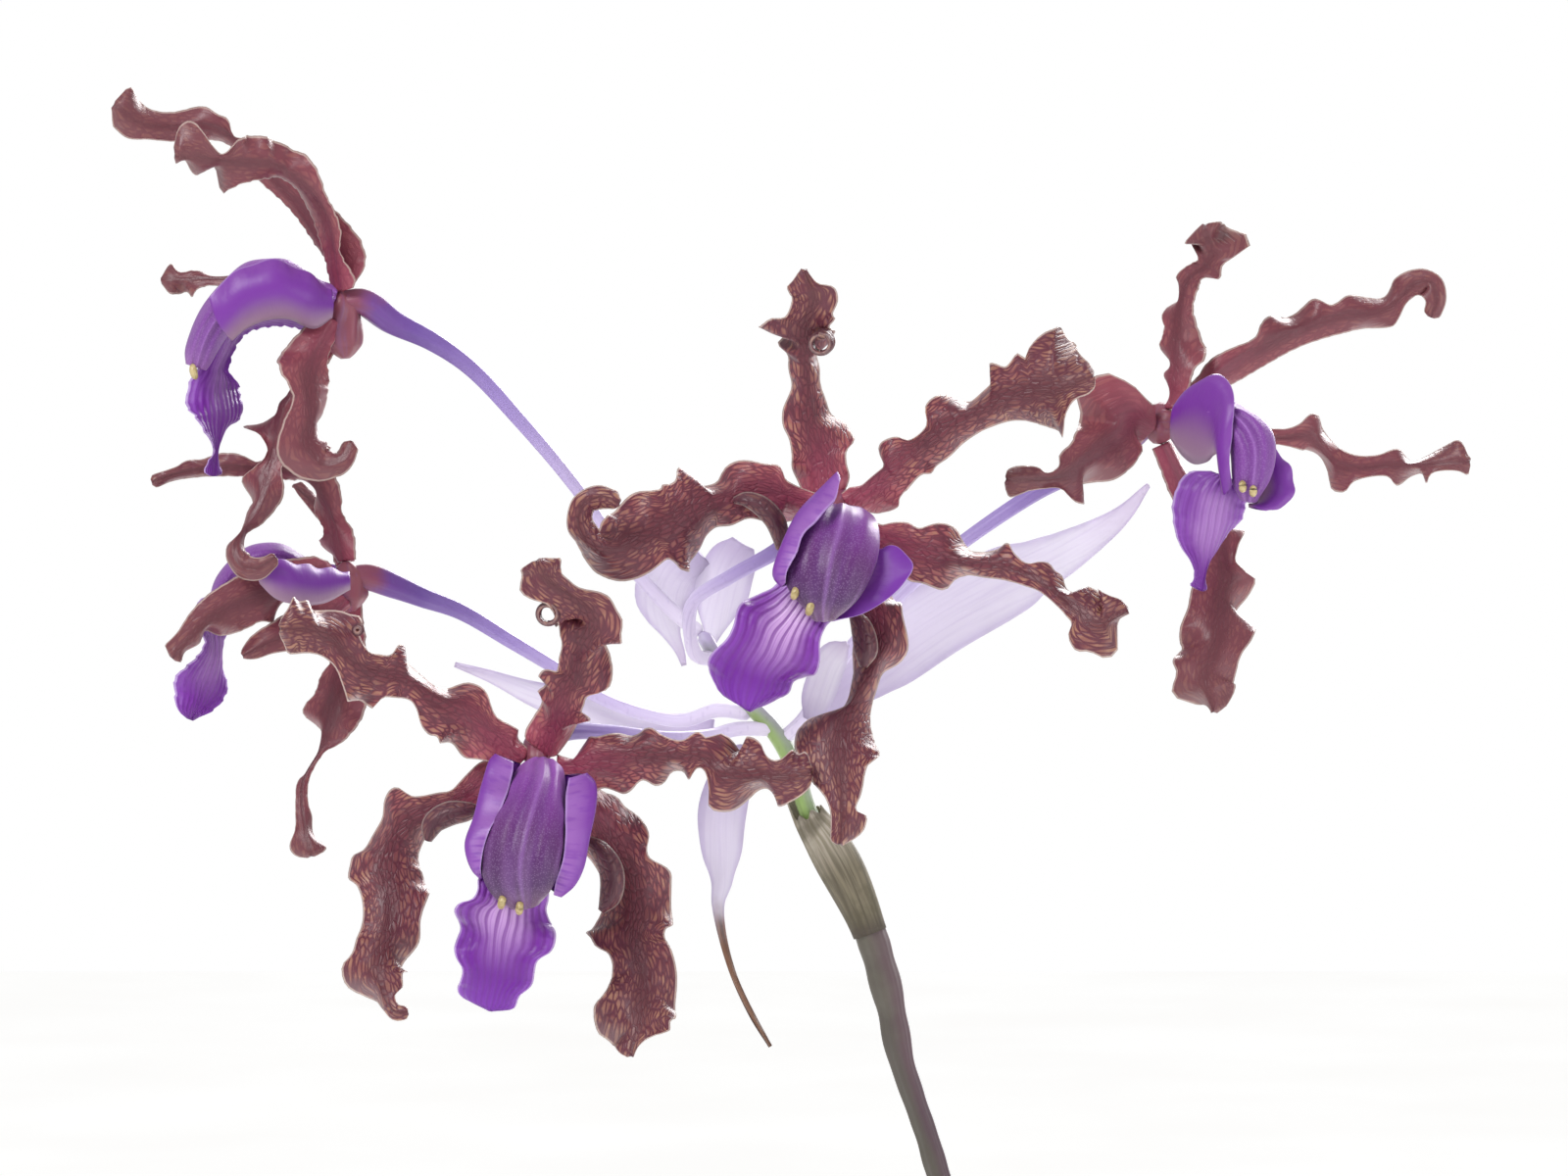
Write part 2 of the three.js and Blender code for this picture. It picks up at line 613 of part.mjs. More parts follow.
// Sheaths wrap the scape as open sleeves
function sleeve(points, inner, outer, sides, steps) {
  const places = stepsAlong(points, steps);
  const rings = [];
  const ringAt = ({ point, tangent }, radius) => {
    const across = new THREE.Vector3().crossVectors(tangent, AWAY).normalize();
    const over = new THREE.Vector3().crossVectors(across, tangent);
    const ring = [];
    for (let k = 0; k < sides; k += 1) {
      const angle = (2 * Math.PI * k) / sides;
      ring.push(point.clone()
        .addScaledVector(across, radius * Math.cos(angle))
        .addScaledVector(over, radius * Math.sin(angle)));
    }
    return ring;
  };
  places.forEach((place) => rings.push(ringAt(place, outer(place.t))));
  [...places].reverse().forEach((place) => rings.push(ringAt(place, inner(place.t))));
  rings.push(rings[0]);
  const position = [];
  const index = [];
  rings.slice(0, -1).forEach((ring) => ring.forEach((p) => position.push(p.x, p.y, p.z)));
  const count = rings.length - 1;
  for (let i = 0; i < count; i += 1) {
    for (let k = 0; k < sides; k += 1) {
      const a = i * sides + k;
      const b = i * sides + (k + 1) % sides;
      const c = ((i + 1) % count) * sides + k;
      const d = ((i + 1) % count) * sides + (k + 1) % sides;
      index.push(a, b, d, a, d, c);
    }
  }
  if (signedVolume(position, index) < 0) {
    for (let i = 0; i < index.length; i += 3) {
      [index[i], index[i + 1]] = [index[i + 1], index[i]];
    }
  }
  const geometry = new THREE.BufferGeometry();
  geometry.setAttribute('position', new THREE.Float32BufferAttribute(position, 3));
  geometry.setIndex(index);
  return geometry;
}

const SHEATH_WALL = 0.7;
const scapeCurve = new THREE.CatmullRomCurve3(scapePoints, false, 'centripetal');
function scapeStretch(from, to) {
  const points = [];
  for (let k = 0; k <= 4; k += 1) {
    points.push(scapeCurve.getPoint(THREE.MathUtils.lerp(from, to, k / 4)));
  }
  return points;
}
const SHEATHS = {
  upper_sheath: { from: 0.54, to: 0.66, flare: 1.4 },
  lower_sheath: { from: 0.12, to: 0.19, flare: 0.6 },
};
for (const [name, { from, to, flare }] of Object.entries(SHEATHS)) {
  const inner = (t) => between(scapeRadii, THREE.MathUtils.lerp(from, to, t)) + 0.5 + flare * t;
  const outer = (t) => inner(t) + SHEATH_WALL;
  add(name, sleeve(scapeStretch(from, to), inner, outer, 12, 5), SHEATH);
}

// Leathery leaves spread from the tops of the bulbs. Each row is out, rise and half width, and
// heading is the compass direction of the leaf in degrees from +X towards +Y.
const LEAF_ROWS = [
  [0, 0, 4.5], [6, 28, 11], [15, 62, 19], [30, 98, 23], [52, 132, 22], [80, 160, 16], [112, 178, 3],
];
const LEAVES = {
  newest_leaf_front: { bulb: 0, heading: -58, size: 1, start: 8.5 },
  newest_leaf_back: { bulb: 0, heading: 72, size: 1.04, start: 8.5 },
  second_leaf_front: { bulb: 1, heading: -122, size: 0.95, start: 4.5 },
  second_leaf_back: { bulb: 1, heading: 128, size: 0.9, start: 4.5 },
  oldest_leaf: { bulb: 2, heading: -165, size: 0.82, start: 4.5 },
};

for (const [name, { bulb, heading, size, start }] of Object.entries(LEAVES)) {
  const angle = THREE.MathUtils.degToRad(heading);
  const out = new THREE.Vector3(Math.cos(angle), Math.sin(angle), 0);
  const points = LEAF_ROWS.map(([far, rise]) => bulbs[bulb].top.clone()
    .addScaledVector(out, start + far * size)
    .add(new THREE.Vector3(0, 0, GAP * 2 + rise * size)));
  const widths = LEAF_ROWS.map((row) => row[2] * size);
  const across = new THREE.Vector3(-out.y, out.x, 0);
  add(name, blade(points, widths, widths, () => across.clone(), LEAF_THICKNESS, -0.22, 13), LEAF);
}

// Creeping rhizome on the bark, with roots that run over it. Each root has the x of its start,
// its heading in degrees and its length, and it bends halfway.
const RHIZOME_LENGTH = 84;
const RHIZOME_OVERHANG = 7;
const RHIZOME_RADII = [2.5, 4.5, 4.1, 4.5, 4.1, 4.5, 3];
const ROOTS = [
  [22, -70, 30], [6, -105, 27], [-14, -80, 33], [-30, -120, 24], [14, 75, 31], [-8, 100, 34],
  [-34, 60, 27],
];
const ROOT_RADIUS = 1.7;
const ROOT_BEND = 25;

function rhizome() {
  const front = NEWEST_BULB_X + RHIZOME_OVERHANG;
  const points = [0, 0.25, 0.5, 0.75, 1].map((t) => new THREE.Vector3(
    front - t * RHIZOME_LENGTH,
    0,
    RHIZOME_Z,
  ));
  let body = solid(stalk(points, RHIZOME_RADII, 10, 18));
  for (const [x, heading, length] of ROOTS) {
    const z = BARK_CLEAR + ROOT_RADIUS;
    const half = length / 2;
    const angle = THREE.MathUtils.degToRad(heading);
    const bend = THREE.MathUtils.degToRad(heading + ROOT_BEND);
    const middle = new THREE.Vector3(x + Math.cos(angle) * half, Math.sin(angle) * half, z);
    const end = new THREE.Vector3(middle.x + Math.cos(bend) * half, middle.y + Math.sin(bend) * half, z);
    const route = [new THREE.Vector3(x, 0, RHIZOME_Z), middle, end];
    body = body.add(solid(stalk(route, [ROOT_RADIUS, ROOT_RADIUS, ROOT_RADIUS * 0.7], 6, 6)));
  }
  return surface(body);
}
add('rhizome', rhizome(), RHIZOME);

// Clay pot with a thick rim and drain holes round its middle
function pot() {
  const rimFoot = POT_HEIGHT - POT_RIM_HEIGHT;
  const outside = [[0, 0], [POT_FOOT_RADIUS - 1.5, 0], [POT_FOOT_RADIUS, 1.5], [POT_BODY_RADIUS, rimFoot],
    [POT_RIM_RADIUS - 1, rimFoot + 1], [POT_RIM_RADIUS, rimFoot + 3], [POT_RIM_RADIUS, POT_HEIGHT - 3],
    [POT_RIM_RADIUS - 1.5, POT_HEIGHT - 0.5], [POT_RIM_RADIUS - 3, POT_HEIGHT]];
  const mouth = POT_BODY_RADIUS - POT_WALL + 1.5;
  const floorRadius = POT_FOOT_RADIUS - POT_WALL;
  const inside = [[mouth + 1.5, POT_HEIGHT], [mouth, POT_HEIGHT - 1.5], [floorRadius, POT_FLOOR + 2],
    [floorRadius - 2, POT_FLOOR], [0, POT_FLOOR]];
  const profile = [...outside, ...inside].map(([r, z]) => new THREE.Vector2(r, z));
  const shell = new THREE.LatheGeometry(profile, 40);
  shell.rotateX(Math.PI / 2);
  let body = solid(shell);
  for (let k = 0; k < DRAIN_HOLES; k += 1) {
    const angle = (2 * Math.PI * (k + 0.25)) / DRAIN_HOLES;
    const hole = new THREE.CylinderGeometry(DRAIN_RADIUS, DRAIN_RADIUS, POT_FLOOR * 3, 16);
    hole.rotateX(Math.PI / 2);
    hole.translate(Math.cos(angle) * DRAIN_RING, Math.sin(angle) * DRAIN_RING, 0);
    body = body.subtract(solid(hole));
  }
  return surface(body);
}
add('pot', pot(), TERRACOTTA);

// Bark mix that fills the pot up to below its rim
function bark() {
  const slope = (POT_BODY_RADIUS - POT_FOOT_RADIUS) / (POT_HEIGHT - POT_FLOOR);
  const radius = (z) => POT_FOOT_RADIUS - POT_WALL + (z - POT_FLOOR) * slope - 0.6;
  const foot = POT_FLOOR + 2 + GAP;
  const profile = [[0, foot], [radius(foot) - 1, foot], [radius(BARK_TOP - 5), BARK_TOP - 5],
    [radius(BARK_TOP) - 4, BARK_TOP], [0, BARK_TOP]];
  const lump = new THREE.LatheGeometry(profile.map(([r, z]) => new THREE.Vector2(r, z)), 32);
  lump.rotateX(Math.PI / 2);
  return surface(solid(lump));
}
add('bark', bark(), BARK);

export default plant;
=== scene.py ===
import math

import bpy
import numpy as np
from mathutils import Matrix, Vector


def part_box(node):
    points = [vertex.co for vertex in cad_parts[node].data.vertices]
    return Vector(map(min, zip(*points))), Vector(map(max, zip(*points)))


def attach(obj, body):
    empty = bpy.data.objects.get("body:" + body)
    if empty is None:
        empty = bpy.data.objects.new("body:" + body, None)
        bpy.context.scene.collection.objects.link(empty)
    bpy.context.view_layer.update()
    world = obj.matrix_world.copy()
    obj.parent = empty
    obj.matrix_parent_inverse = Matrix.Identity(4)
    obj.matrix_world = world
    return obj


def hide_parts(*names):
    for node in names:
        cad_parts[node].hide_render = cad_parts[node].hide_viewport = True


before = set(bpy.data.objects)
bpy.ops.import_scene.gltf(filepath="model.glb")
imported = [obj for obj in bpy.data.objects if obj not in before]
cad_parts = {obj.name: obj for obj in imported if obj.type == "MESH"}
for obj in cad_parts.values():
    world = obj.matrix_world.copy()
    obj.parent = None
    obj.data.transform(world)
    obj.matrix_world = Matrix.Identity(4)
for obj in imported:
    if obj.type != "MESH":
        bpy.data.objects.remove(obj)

bl_info = {
    "name": "Potted orchid in flower",
    "version": (1, 0, 0),
    "blender": (4, 5, 0),
    "location": "View3D > Sidebar > Orchid",
    "description": "Builds the finish of a potted Laelia splendida around its fixed frame",
    "category": "Add Mesh",
}

MM = 0.001
BODY = "root"
# The head of flowers is laid out on an upright sheet, in millimetres to the right and up from its
# middle, with a depth behind it. Points farther back spread by their distance from the viewer.
HEAD = np.array([-55.0, -50.0, 640.0])
VIEW_DISTANCE = 800.0
AWAY = np.array([0.0, 1.0, 0.0])
UPWARD = np.array([0.0, 0.0, 1.0])
FULL_TURN = 2 * math.pi


# Numbers and lines

def marks(text):
    """A list of points written as words of comma separated numbers."""
    return np.array([[float(n) for n in word.split(",")] for word in text.split()])


def tone(code):
    """A linear colour from a six digit screen colour."""
    parts = [((code >> shift) & 255) / 255 for shift in (16, 8, 0)]
    linear = [p / 12.92 if p <= 0.04045 else ((p + 0.055) / 1.055) ** 2.4 for p in parts]
    return (*linear, 1.0)


def seen(points):
    """Millimetres in the room from right, up and depth on the sheet."""
    p = np.asarray(points, float)
    spread = 1 + p[..., 2] / VIEW_DISTANCE
    return np.stack([HEAD[0] + p[..., 0] * spread, HEAD[1] + p[..., 2], HEAD[2] + p[..., 1] * spread], -1)


def by_row(values, count):
    """One value for each ring, the same at all its points."""
    return np.repeat(np.asarray(values)[:, None], count, 1)


def by_column(values, count):
    """The same values round every ring."""
    return np.repeat(np.asarray(values)[None, :], count, 0)


def curve_through(points, pieces=20):
    """A smooth line through the points, with the knots spaced by the root of their distance."""
    p = np.asarray(points, float)
    if len(p) < 3:
        return p
    ends = np.vstack([2 * p[0] - p[1], p, 2 * p[-1] - p[-2]])
    gaps = np.maximum(np.sqrt(np.linalg.norm(np.diff(ends, axis=0), axis=1)), 1e-4)
    knots = np.concatenate([[0], np.cumsum(gaps)])
    out = []
    for i in range(1, len(ends) - 2):
        t = np.linspace(knots[i], knots[i + 1], pieces, endpoint=False)[:, None]
        k0, k1, k2, k3 = knots[i - 1:i + 3]
        a1 = (k1 - t) / (k1 - k0) * ends[i - 1] + (t - k0) / (k1 - k0) * ends[i]
        a2 = (k2 - t) / (k2 - k1) * ends[i] + (t - k1) / (k2 - k1) * ends[i + 1]
        a3 = (k3 - t) / (k3 - k2) * ends[i + 1] + (t - k2) / (k3 - k2) * ends[i + 2]
        b1 = (k2 - t) / (k2 - k0) * a1 + (t - k0) / (k2 - k0) * a2
        b2 = (k3 - t) / (k3 - k1) * a2 + (t - k1) / (k3 - k1) * a3
        out.append((k2 - t) / (k2 - k1) * b1 + (t - k1) / (k2 - k1) * b2)
    out.append(p[-1:])
    return np.vstack(out)


def walked_along(points):
    """Distance of each point from the first one, along the line."""
    return np.concatenate([[0], np.cumsum(np.linalg.norm(np.diff(points, axis=0), axis=1))])


def even_line(points, step):
    """Points at an even step along a smooth line, and their distances from its start."""
    dense = curve_through(points)
    walked = walked_along(dense)
    count = max(6, int(round(walked[-1] / step)))
    at = np.linspace(0, walked[-1], count + 1)
    line = np.stack([np.interp(at, walked, dense[:, k]) for k in range(dense.shape[1])], 1)
    return line, at


def unit(vectors):
    length = np.linalg.norm(vectors, axis=-1, keepdims=True)
    return vectors / np.maximum(length, 1e-9)


def left_of(line):
    """The way to the left of a line at each of its points, as seen on the sheet."""
    tangent = unit(np.gradient(line[:, :2], axis=0))
    return np.stack([-tangent[:, 1], tangent[:, 0]], 1)


def softened(values, sigma):
    """Values smoothed along their length by a bell of that many steps."""
    if sigma < 0.3:
        return values
    reach = int(math.ceil(sigma * 3))
    bell = np.exp(-0.5 * (np.arange(-reach, reach + 1) / sigma) ** 2)
    bell /= bell.sum()
    return np.convolve(np.pad(values, reach, mode="edge"), bell, mode="valid")


def widest(values, reach):
    padded = np.pad(values, reach, mode="edge")
    return np.max([padded[k:k + len(values)] for k in range(2 * reach + 1)], axis=0)


def rows_along(values, count):
    """A short list of values spread evenly over a longer line."""
    smooth = curve_through(np.stack([np.linspace(0, 1, len(values)), values], 1))
    return np.interp(np.linspace(0, 1, count), smooth[:, 0], smooth[:, 1])


# Meshes

def loft(name, rings, kind, flow, wrap=0.0, fields=None, tube=False):
    """A closed mesh through rings of points in millimetres, with a flow map and point values.

    Fans close its two ends, and in a tube the last ring meets the first one instead. wrap is how
    far the flow map runs on over the seam. kind is a finish by name, or a finished material.
    """
    rings = np.asarray(rings, float) * MM
    n, m, _ = rings.shape
    last = (n - 1) * m

    def flat(values):
        values = np.asarray(values, float).reshape(n, m, -1)
        middles = [] if tube else [values[:1].mean(1), values[-1:].mean(1)]
        return np.vstack([values.reshape(n * m, -1), *middles])

    rows = n if tube else n - 1
    i, k = np.meshgrid(np.arange(rows), np.arange(m), indexing="ij")
    down, right = (i + 1) % n * m, (k + 1) % m
    quads = np.stack([i * m + k, i * m + right, down + right, down + k], -1).reshape(-1, 4)
    lap = np.zeros((rows, m, 4))
    lap[:, -1, 1:3] = wrap
    lap = lap.reshape(-1, 4)
    turn = np.arange(0 if tube else m)
    after = (turn + 1) % m
    fans = np.vstack([np.stack([np.full_like(turn, n * m), after, turn], 1),
                      np.stack([np.full_like(turn, n * m + 1), last + turn, last + after], 1)])
    points = flat(rings)
    corner = points[np.vstack([quads[:, [0, 1, 2]], quads[:, [0, 2, 3]], fans])]
    volume = np.einsum("ij,ij->i", corner[:, 0], np.cross(corner[:, 1], corner[:, 2])).sum()
    if volume < 0:
        quads, fans, lap = quads[:, ::-1], fans[:, ::-1], lap[:, ::-1]
    mesh = bpy.data.meshes.new(name)
    mesh.from_pydata(points.tolist(), [], quads.tolist() + fans.tolist())
    mesh.polygons.foreach_set("use_smooth", [True] * len(mesh.polygons))
    corners = flat(flow)[np.concatenate([quads.reshape(-1), fans.reshape(-1)])]
    corners[:len(quads) * 4, 1] += lap.reshape(-1)
    mesh.uv_layers.new(name="Flow").uv.foreach_set("vector", corners.reshape(-1))
    for key, value in (fields or {}).items():
        mesh.attributes.new(key, "FLOAT", "POINT").data.foreach_set("value", flat(value).reshape(-1))
    mesh.update()
    mesh.materials.append(material_for(kind) if isinstance(kind, str) else kind)
    piece = bpy.data.objects.new(name, mesh)
    bpy.context.scene.collection.objects.link(piece)
    return piece


def joined(name, pieces):
    """One piece out of several that carry the same kinds of layers."""
    bpy.ops.object.select_all(action="DESELECT")
    for piece in pieces:
        piece.select_set(True)
    bpy.context.view_layer.objects.active = pieces[0]
    bpy.ops.object.join()
    pieces[0].name = name
    pieces[0].data.name = name
    return pieces[0]


def ribbon(line, at, side, left, right, lift, half_thick, place, across_count=19):
    """Rings, flow map and point values of a thin closed blade along a line."""
    normal = unit(np.cross(side, unit(np.gradient(line, axis=0))))[:, None, :]
    side = side[:, None, :]
    x = np.sin(np.linspace(-0.5, 0.5, across_count) * math.pi)
    reach = np.where(x[None, :] > 0, left[:, None], right[:, None])
    body = line[:, None, :] + side * (x[None, :] * reach)[..., None]
    body = body + normal * lift(x)[..., None]
    thick = half_thick(x)[..., None]
    front = body + normal * thick
    back = body - normal * thick
    low = body[:, :1] - side * thick[:, :1]
    high = body[:, -1:] + side * thick[:, -1:]
    rings = np.concatenate([low, front, high, back[:, ::-1]], 1)
    across = np.concatenate([x[:1], x, x[-1:], x[::-1]])
    width = np.maximum(left, right)
    flow = np.stack([by_row(at, len(across)) / 10, across[None, :] * width[:, None] / 10], -1)
    under = np.concatenate([[0.5], np.zeros(len(x)), [0.5], np.ones(len(x))])
    fields = {"along": by_row(at / at[-1], len(across)), "across": by_column(across, len(line)),
              "under": by_column(under, len(line))}
    return place(rings), flow, fields


def reach_to(outline, line, normal, limit):
    """How far the outline lies from each place on the line, straight out in the given direction."""
    edge = curve_through(outline, 6)
    a = edge[:-1]
    e = np.diff(edge, axis=0)
    found = np.full(len(line), np.nan)
    for i, (p, n) in enumerate(zip(line, normal)):
        w = a - p
        cross = n[0] * e[:, 1] - n[1] * e[:, 0]
        cross = np.where(np.abs(cross) < 1e-9, 1e-9, cross)
        far = (w[:, 0] * e[:, 1] - w[:, 1] * e[:, 0]) / cross
        share = (w[:, 0] * n[1] - w[:, 1] * n[0]) / cross
        hit = (share >= 0) & (share <= 1) & (far > 0.1) & (far < limit)
        if hit.any():
            found[i] = far[hit].min()
    return found


def blade_widths(shape, line, foot, tip, limit, settle):
    """Left and right half widths of a blade, from where its outlines are met, the rest filled in."""
    out = []
    for key, way in (("left", 1), ("right", -1)):
        found = reach_to(marks(shape[key]), line[:, :2], left_of(line) * way, limit)
        found[0], found[-1] = foot, tip
        known = ~np.isnan(found)
        places = np.arange(len(found))
        out.append(softened(np.interp(places, places[known], found[known]), settle))
    return out


RUFFLE_SPREAD = 2.3


def ruffles(reach, step, forward_share, seed):
    """The full half width of a wavy margin and how far it stands in front of or behind its sheet."""
    full = softened(widest(reach, max(1, int(RUFFLE_SPREAD / step))), 1.3 / step)
    full = np.maximum(full, reach)
    fold = np.sqrt(np.maximum(full ** 2 - reach ** 2, 0))
    closed = fold < 0.35 * softened(fold, 4 / step)
    order = np.cumsum(np.diff(closed.astype(int), prepend=0) == 1) + seed
    way = np.where(order % 2 == 0, forward_share, -1.0)
    return full, softened(fold * way, 0.5 / step)


# Node trees

def node(tree, kind, inputs=None, **settings):
    """Add a node, set its values and wire its inputs. A colour can be given as its code."""
    made = tree.nodes.new(kind)
    for key, value in settings.items():
        setattr(made, key, value)
    for key, value in (inputs or {}).items():
        socket = made.inputs[key]
        if isinstance(value, Wire):
            tree.links.new(value.output, socket)
        elif isinstance(value, bpy.types.NodeSocket):
            tree.links.new(value, socket)
        elif socket.type == "RGBA" and isinstance(value, int):
            socket.default_value = tone(value)
        else:
            socket.default_value = value
    return made


class Wire:
    """The output of a node, which can be reckoned with like a number, a place or a colour."""

    def __init__(self, tree, kind, inputs=None, out=0, **settings):
        self.tree = tree
        self.output = node(tree, kind, inputs, **settings).outputs[out]

    def then(self, kind, inputs, out=0, **settings):
        return Wire(self.tree, kind, inputs, out, **settings)

    def calc(self, operation, other=0.0):
        return self.then("ShaderNodeMath", {0: self, 1: other}, operation=operation)

    def __add__(self, other):
        return self.calc("ADD", other)

    def __sub__(self, other):
        return self.calc("SUBTRACT", other)

    def __rsub__(self, other):
        return self.then("ShaderNodeMath", {0: other, 1: self}, operation="SUBTRACT")

    def __mul__(self, other):
        return self.calc("MULTIPLY", other)

    def __abs__(self):
        return self.calc("ABSOLUTE")

    def fade(self, low, high, start=0.0, end=1.0):
        """A soft step from start to end while the value goes from low to high."""
        return self.then("ShaderNodeMapRange", {"Value": self, "From Min": low, "From Max": high,
                                                "To Min": start, "To Max": end},
                         interpolation_type="SMOOTHSTEP")

    def between(self, first, second):
        """The first colour where the value is 0 and the second one where it is 1."""
        return self.then("ShaderNodeMix", {0: self, 6: first, 7: second}, 2, data_type="RGBA")

    def mix(self, share, colour):
        """This colour with a share of the other one."""
        return self.then("ShaderNodeMix", {0: share, 6: self, 7: colour}, 2, data_type="RGBA")

    def tint(self, colour, value, low, high, amount=1.0):
        """This colour, going over to an amount of the other while the value goes from low to high."""
        return self.mix(value.fade(low, high, 0.0, amount), colour)

    def ramp(self, *stops):
        """Colours along the value, given as place and colour in turn, with places from 0 to 1."""
        made = self.then("ShaderNodeValToRGB", {"Fac": self})
        points = made.output.node.color_ramp.elements
        for place, colour in zip(stops[::2], stops[1::2]):
            point = {0.0: points[0], 1.0: points[-1]}.get(place) or points.new(place)
            point.color = tone(colour) if isinstance(colour, int) else colour
        return made

    def part(self, index):
        """One coordinate of a place."""
        return self.then("ShaderNodeSeparateXYZ", {0: self}, index)

    def stretched(self, *scale):
        return self.then("ShaderNodeMapping", {"Vector": self, "Scale": scale})

    def noise(self, scale, detail=3.0, rough=0.55):
        return self.then("ShaderNodeTexNoise", {"Vector": self, "Scale": scale, "Detail": detail,
                                                "Roughness": rough}, "Fac")

    def cells(self, scale, feature="F1"):
        return self.then("ShaderNodeTexVoronoi", {"Vector": self, "Scale": scale}, "Distance",
                         feature=feature)

    def wobbled(self, scale, amount):
        """Places pushed about by a soft noise, so that nothing runs dead straight."""
        push = self.then("ShaderNodeTexNoise", {"Vector": self, "Scale": scale, "Detail": 2.0}, "Color")
        push = self.then("ShaderNodeVectorMath", {0: push, 1: (0.5, 0.5, 0.5)}, operation="SUBTRACT")
        push = self.then("ShaderNodeVectorMath", {0: push, 3: amount}, operation="SCALE")
        return self.then("ShaderNodeVectorMath", {0: self, 1: push}, operation="ADD")

    def bumped(self, distance, strength):
        return self.then("ShaderNodeBump", {"Height": self, "Distance": distance, "Strength": strength})


class Paint:
    """A material under way and the values that its patterns start from."""

    def __init__(self, name):
        self.material = bpy.data.materials.new(name)
        self.material.use_nodes = True
        self.tree = self.material.node_tree
        self.tree.nodes.clear()

    def flow(self):
        """Centimetres along and round or across the piece."""
        return Wire(self.tree, "ShaderNodeUVMap", uv_map="Flow")

    def place(self):
        return Wire(self.tree, "ShaderNodeTexCoord", out="Object")

    def values(self, *names):
        return [Wire(self.tree, "ShaderNodeAttribute", out="Fac", attribute_name=name) for name in names]

    def finish(self, colour, roughness, normal, glow=0.0, glow_colour=None, **fixed):
        """The surface shader, with a share of light let through for thin tissue."""
        inputs = {"Base Color": colour, "Roughness": roughness}
        if normal is not None:
            inputs["Normal"] = normal
        inputs.update({key.replace("_", " "): value for key, value in fixed.items()})
        shader = Wire(self.tree, "ShaderNodeBsdfPrincipled", inputs)
        if glow:
            through = shader.then("ShaderNodeBsdfTranslucent", {"Color": glow_colour or colour})
            shader = shader.then("ShaderNodeMixShader", {0: glow, 1: shader, 2: through})
        node(self.tree, "ShaderNodeOutputMaterial", {"Surface": shader})
        return self.material


# Materials

LIP_GLOSS = {"Sheen_Weight": 0.05, "Sheen_Roughness": 0.4, "Specular_IOR_Level": 0.34,
             "Coat_Weight": 0.08, "Coat_Roughness": 0.3}


def tepal_material(tones):
    """Maroon petal skin: a smooth dark band, netted tan margins and tips, a crimson foot, a painted
    highlight along the very edge, and a darker back that also paints the shade in folds.
    """
    paint = Paint("tepal_skin")
    place = paint.place()
    along, across, soft, under = paint.values("along", "across", "soft", "under")
    soft = soft * 0.6
    edge = abs(across)
    cloud = place.noise(160.0)
    bent = paint.flow().wobbled(2.2, 0.035)
    net = bent.stretched(5.2, 15.0, 1.0).cells(1.0, "DISTANCE_TO_EDGE")
    cell = net.fade(0.02, 0.2).calc("MAXIMUM", soft)
    fine = bent.stretched(1.6, 15.0, 1.0).noise(1.0, 2.0)
    band = along.ramp(0.0, tones.foot, 0.12, 0x7C3148, 0.34, tones.band, 0.8, 0x55262F, 1.0, 0x5C3036)
    margin = along.ramp(0.0, 0xAE5268, 0.22, 0x964854, 0.6, tones.margin, 1.0, 0x724044)
    freckle = place.noise(420.0, 2.0).fade(0.35, 0.7).fade(0.0, 1.0, 0.35, 0.85)
    tan = net.fade(0.08, 0.3) * freckle * soft.fade(0.0, 0.6, 1.0, 0.3)
    netted = cell.between(tones.vein, margin.mix(tan, tones.cell))
    netted = margin.mix(along.fade(0.0, 0.3, 0.25, 1.0), netted)
    spread = edge + (cloud - 0.5) * 0.4 + along * 0.35
    faint = band.mix(cell * 0.3, margin)
    streaked = faint.tint(0x4A2433, fine, 0.42, 0.62, 0.22)
    # tones.rim on the very edge is a painted highlight along the rim
    colour = streaked.tint(netted, spread, 0.3, 0.84).tint(tones.rim, edge, 0.965, 1.0, 0.7)
    # under darkens the back of each petal, partly its duller colour and partly painted shade where margins
    # fold over
    colour = colour.mix(soft, colour.mix(0.4, 0x6E444C)).mix(under * 0.6, 0x4E303B)
    normal = (cell * 0.7 + fine * 0.6).bumped(0.0002, 0.65)
    return paint.finish(colour, cloud.fade(0.3, 0.7, 0.34, 0.48), normal, 0.15,
                        colour.mix(0.5, 0xA83E50), Sheen_Weight=0.05, Sheen_Roughness=0.35,
                        Specular_IOR_Level=0.34, Coat_Weight=0.1, Coat_Roughness=0.3)


def lip_material(tones):
    """Violet lip: dark fanning veins, pale streaks down the middle and a paler wavy margin."""
    paint = Paint("lip_skin")
    place = paint.place()
    along, across, soft = paint.values("along", "across", "soft")
    edge = abs(across)
    cloud = place.noise(190.0)
    fan = (across + (paint.flow().noise(1.1, 1.0) - 0.5) * 0.22) * 33.0
    lines = fan.calc("SINE")
    forks = (fan * 2.1).calc("SINE").fade(0.5, 1.0)
    base = along.ramp(0.0, 0xC8A8DC, 0.42, 0xC4A0DA, 0.52, 0x8A44AC, 0.62, tones.lip,
                      0.85, 0x691A90, 1.0, 0x7C36AA)
    centre = (edge + cloud * 0.5).fade(0.4, 1.05, 1.0, 0.0)
    throat = centre * along.fade(0.88, 0.5) * along.fade(0.05, 0.25) * soft.fade(0.0, 1.0, 1.0, 0.35)
    colour = base.mix(soft * 0.9, 0x76289A).mix(throat * 0.95, tones.lip_pale)
    colour = colour.tint(0x9C62C4, edge, 0.6, 1.0, 0.4)
    strength = along.fade(1.0, 0.35, 0.3, 0.9) * soft.fade(0.0, 1.0, 1.0, 0.3)
    colour = colour.mix(lines.fade(0.1, 0.8) * strength, tones.lip_vein).mix(forks * 0.25, 0x6A2288)
    colour = colour.tint(0xD0B8E4, edge, 0.965, 1.0, 0.6)
    normal = (lines * -0.4 + place.noise(700.0, 2.0)).bumped(0.00025, 0.8)
    return paint.finish(colour, cloud.fade(0.3, 0.7, 0.34, 0.47), normal, 0.22,
                        colour.mix(0.4, 0xA040D0), **LIP_GLOSS)


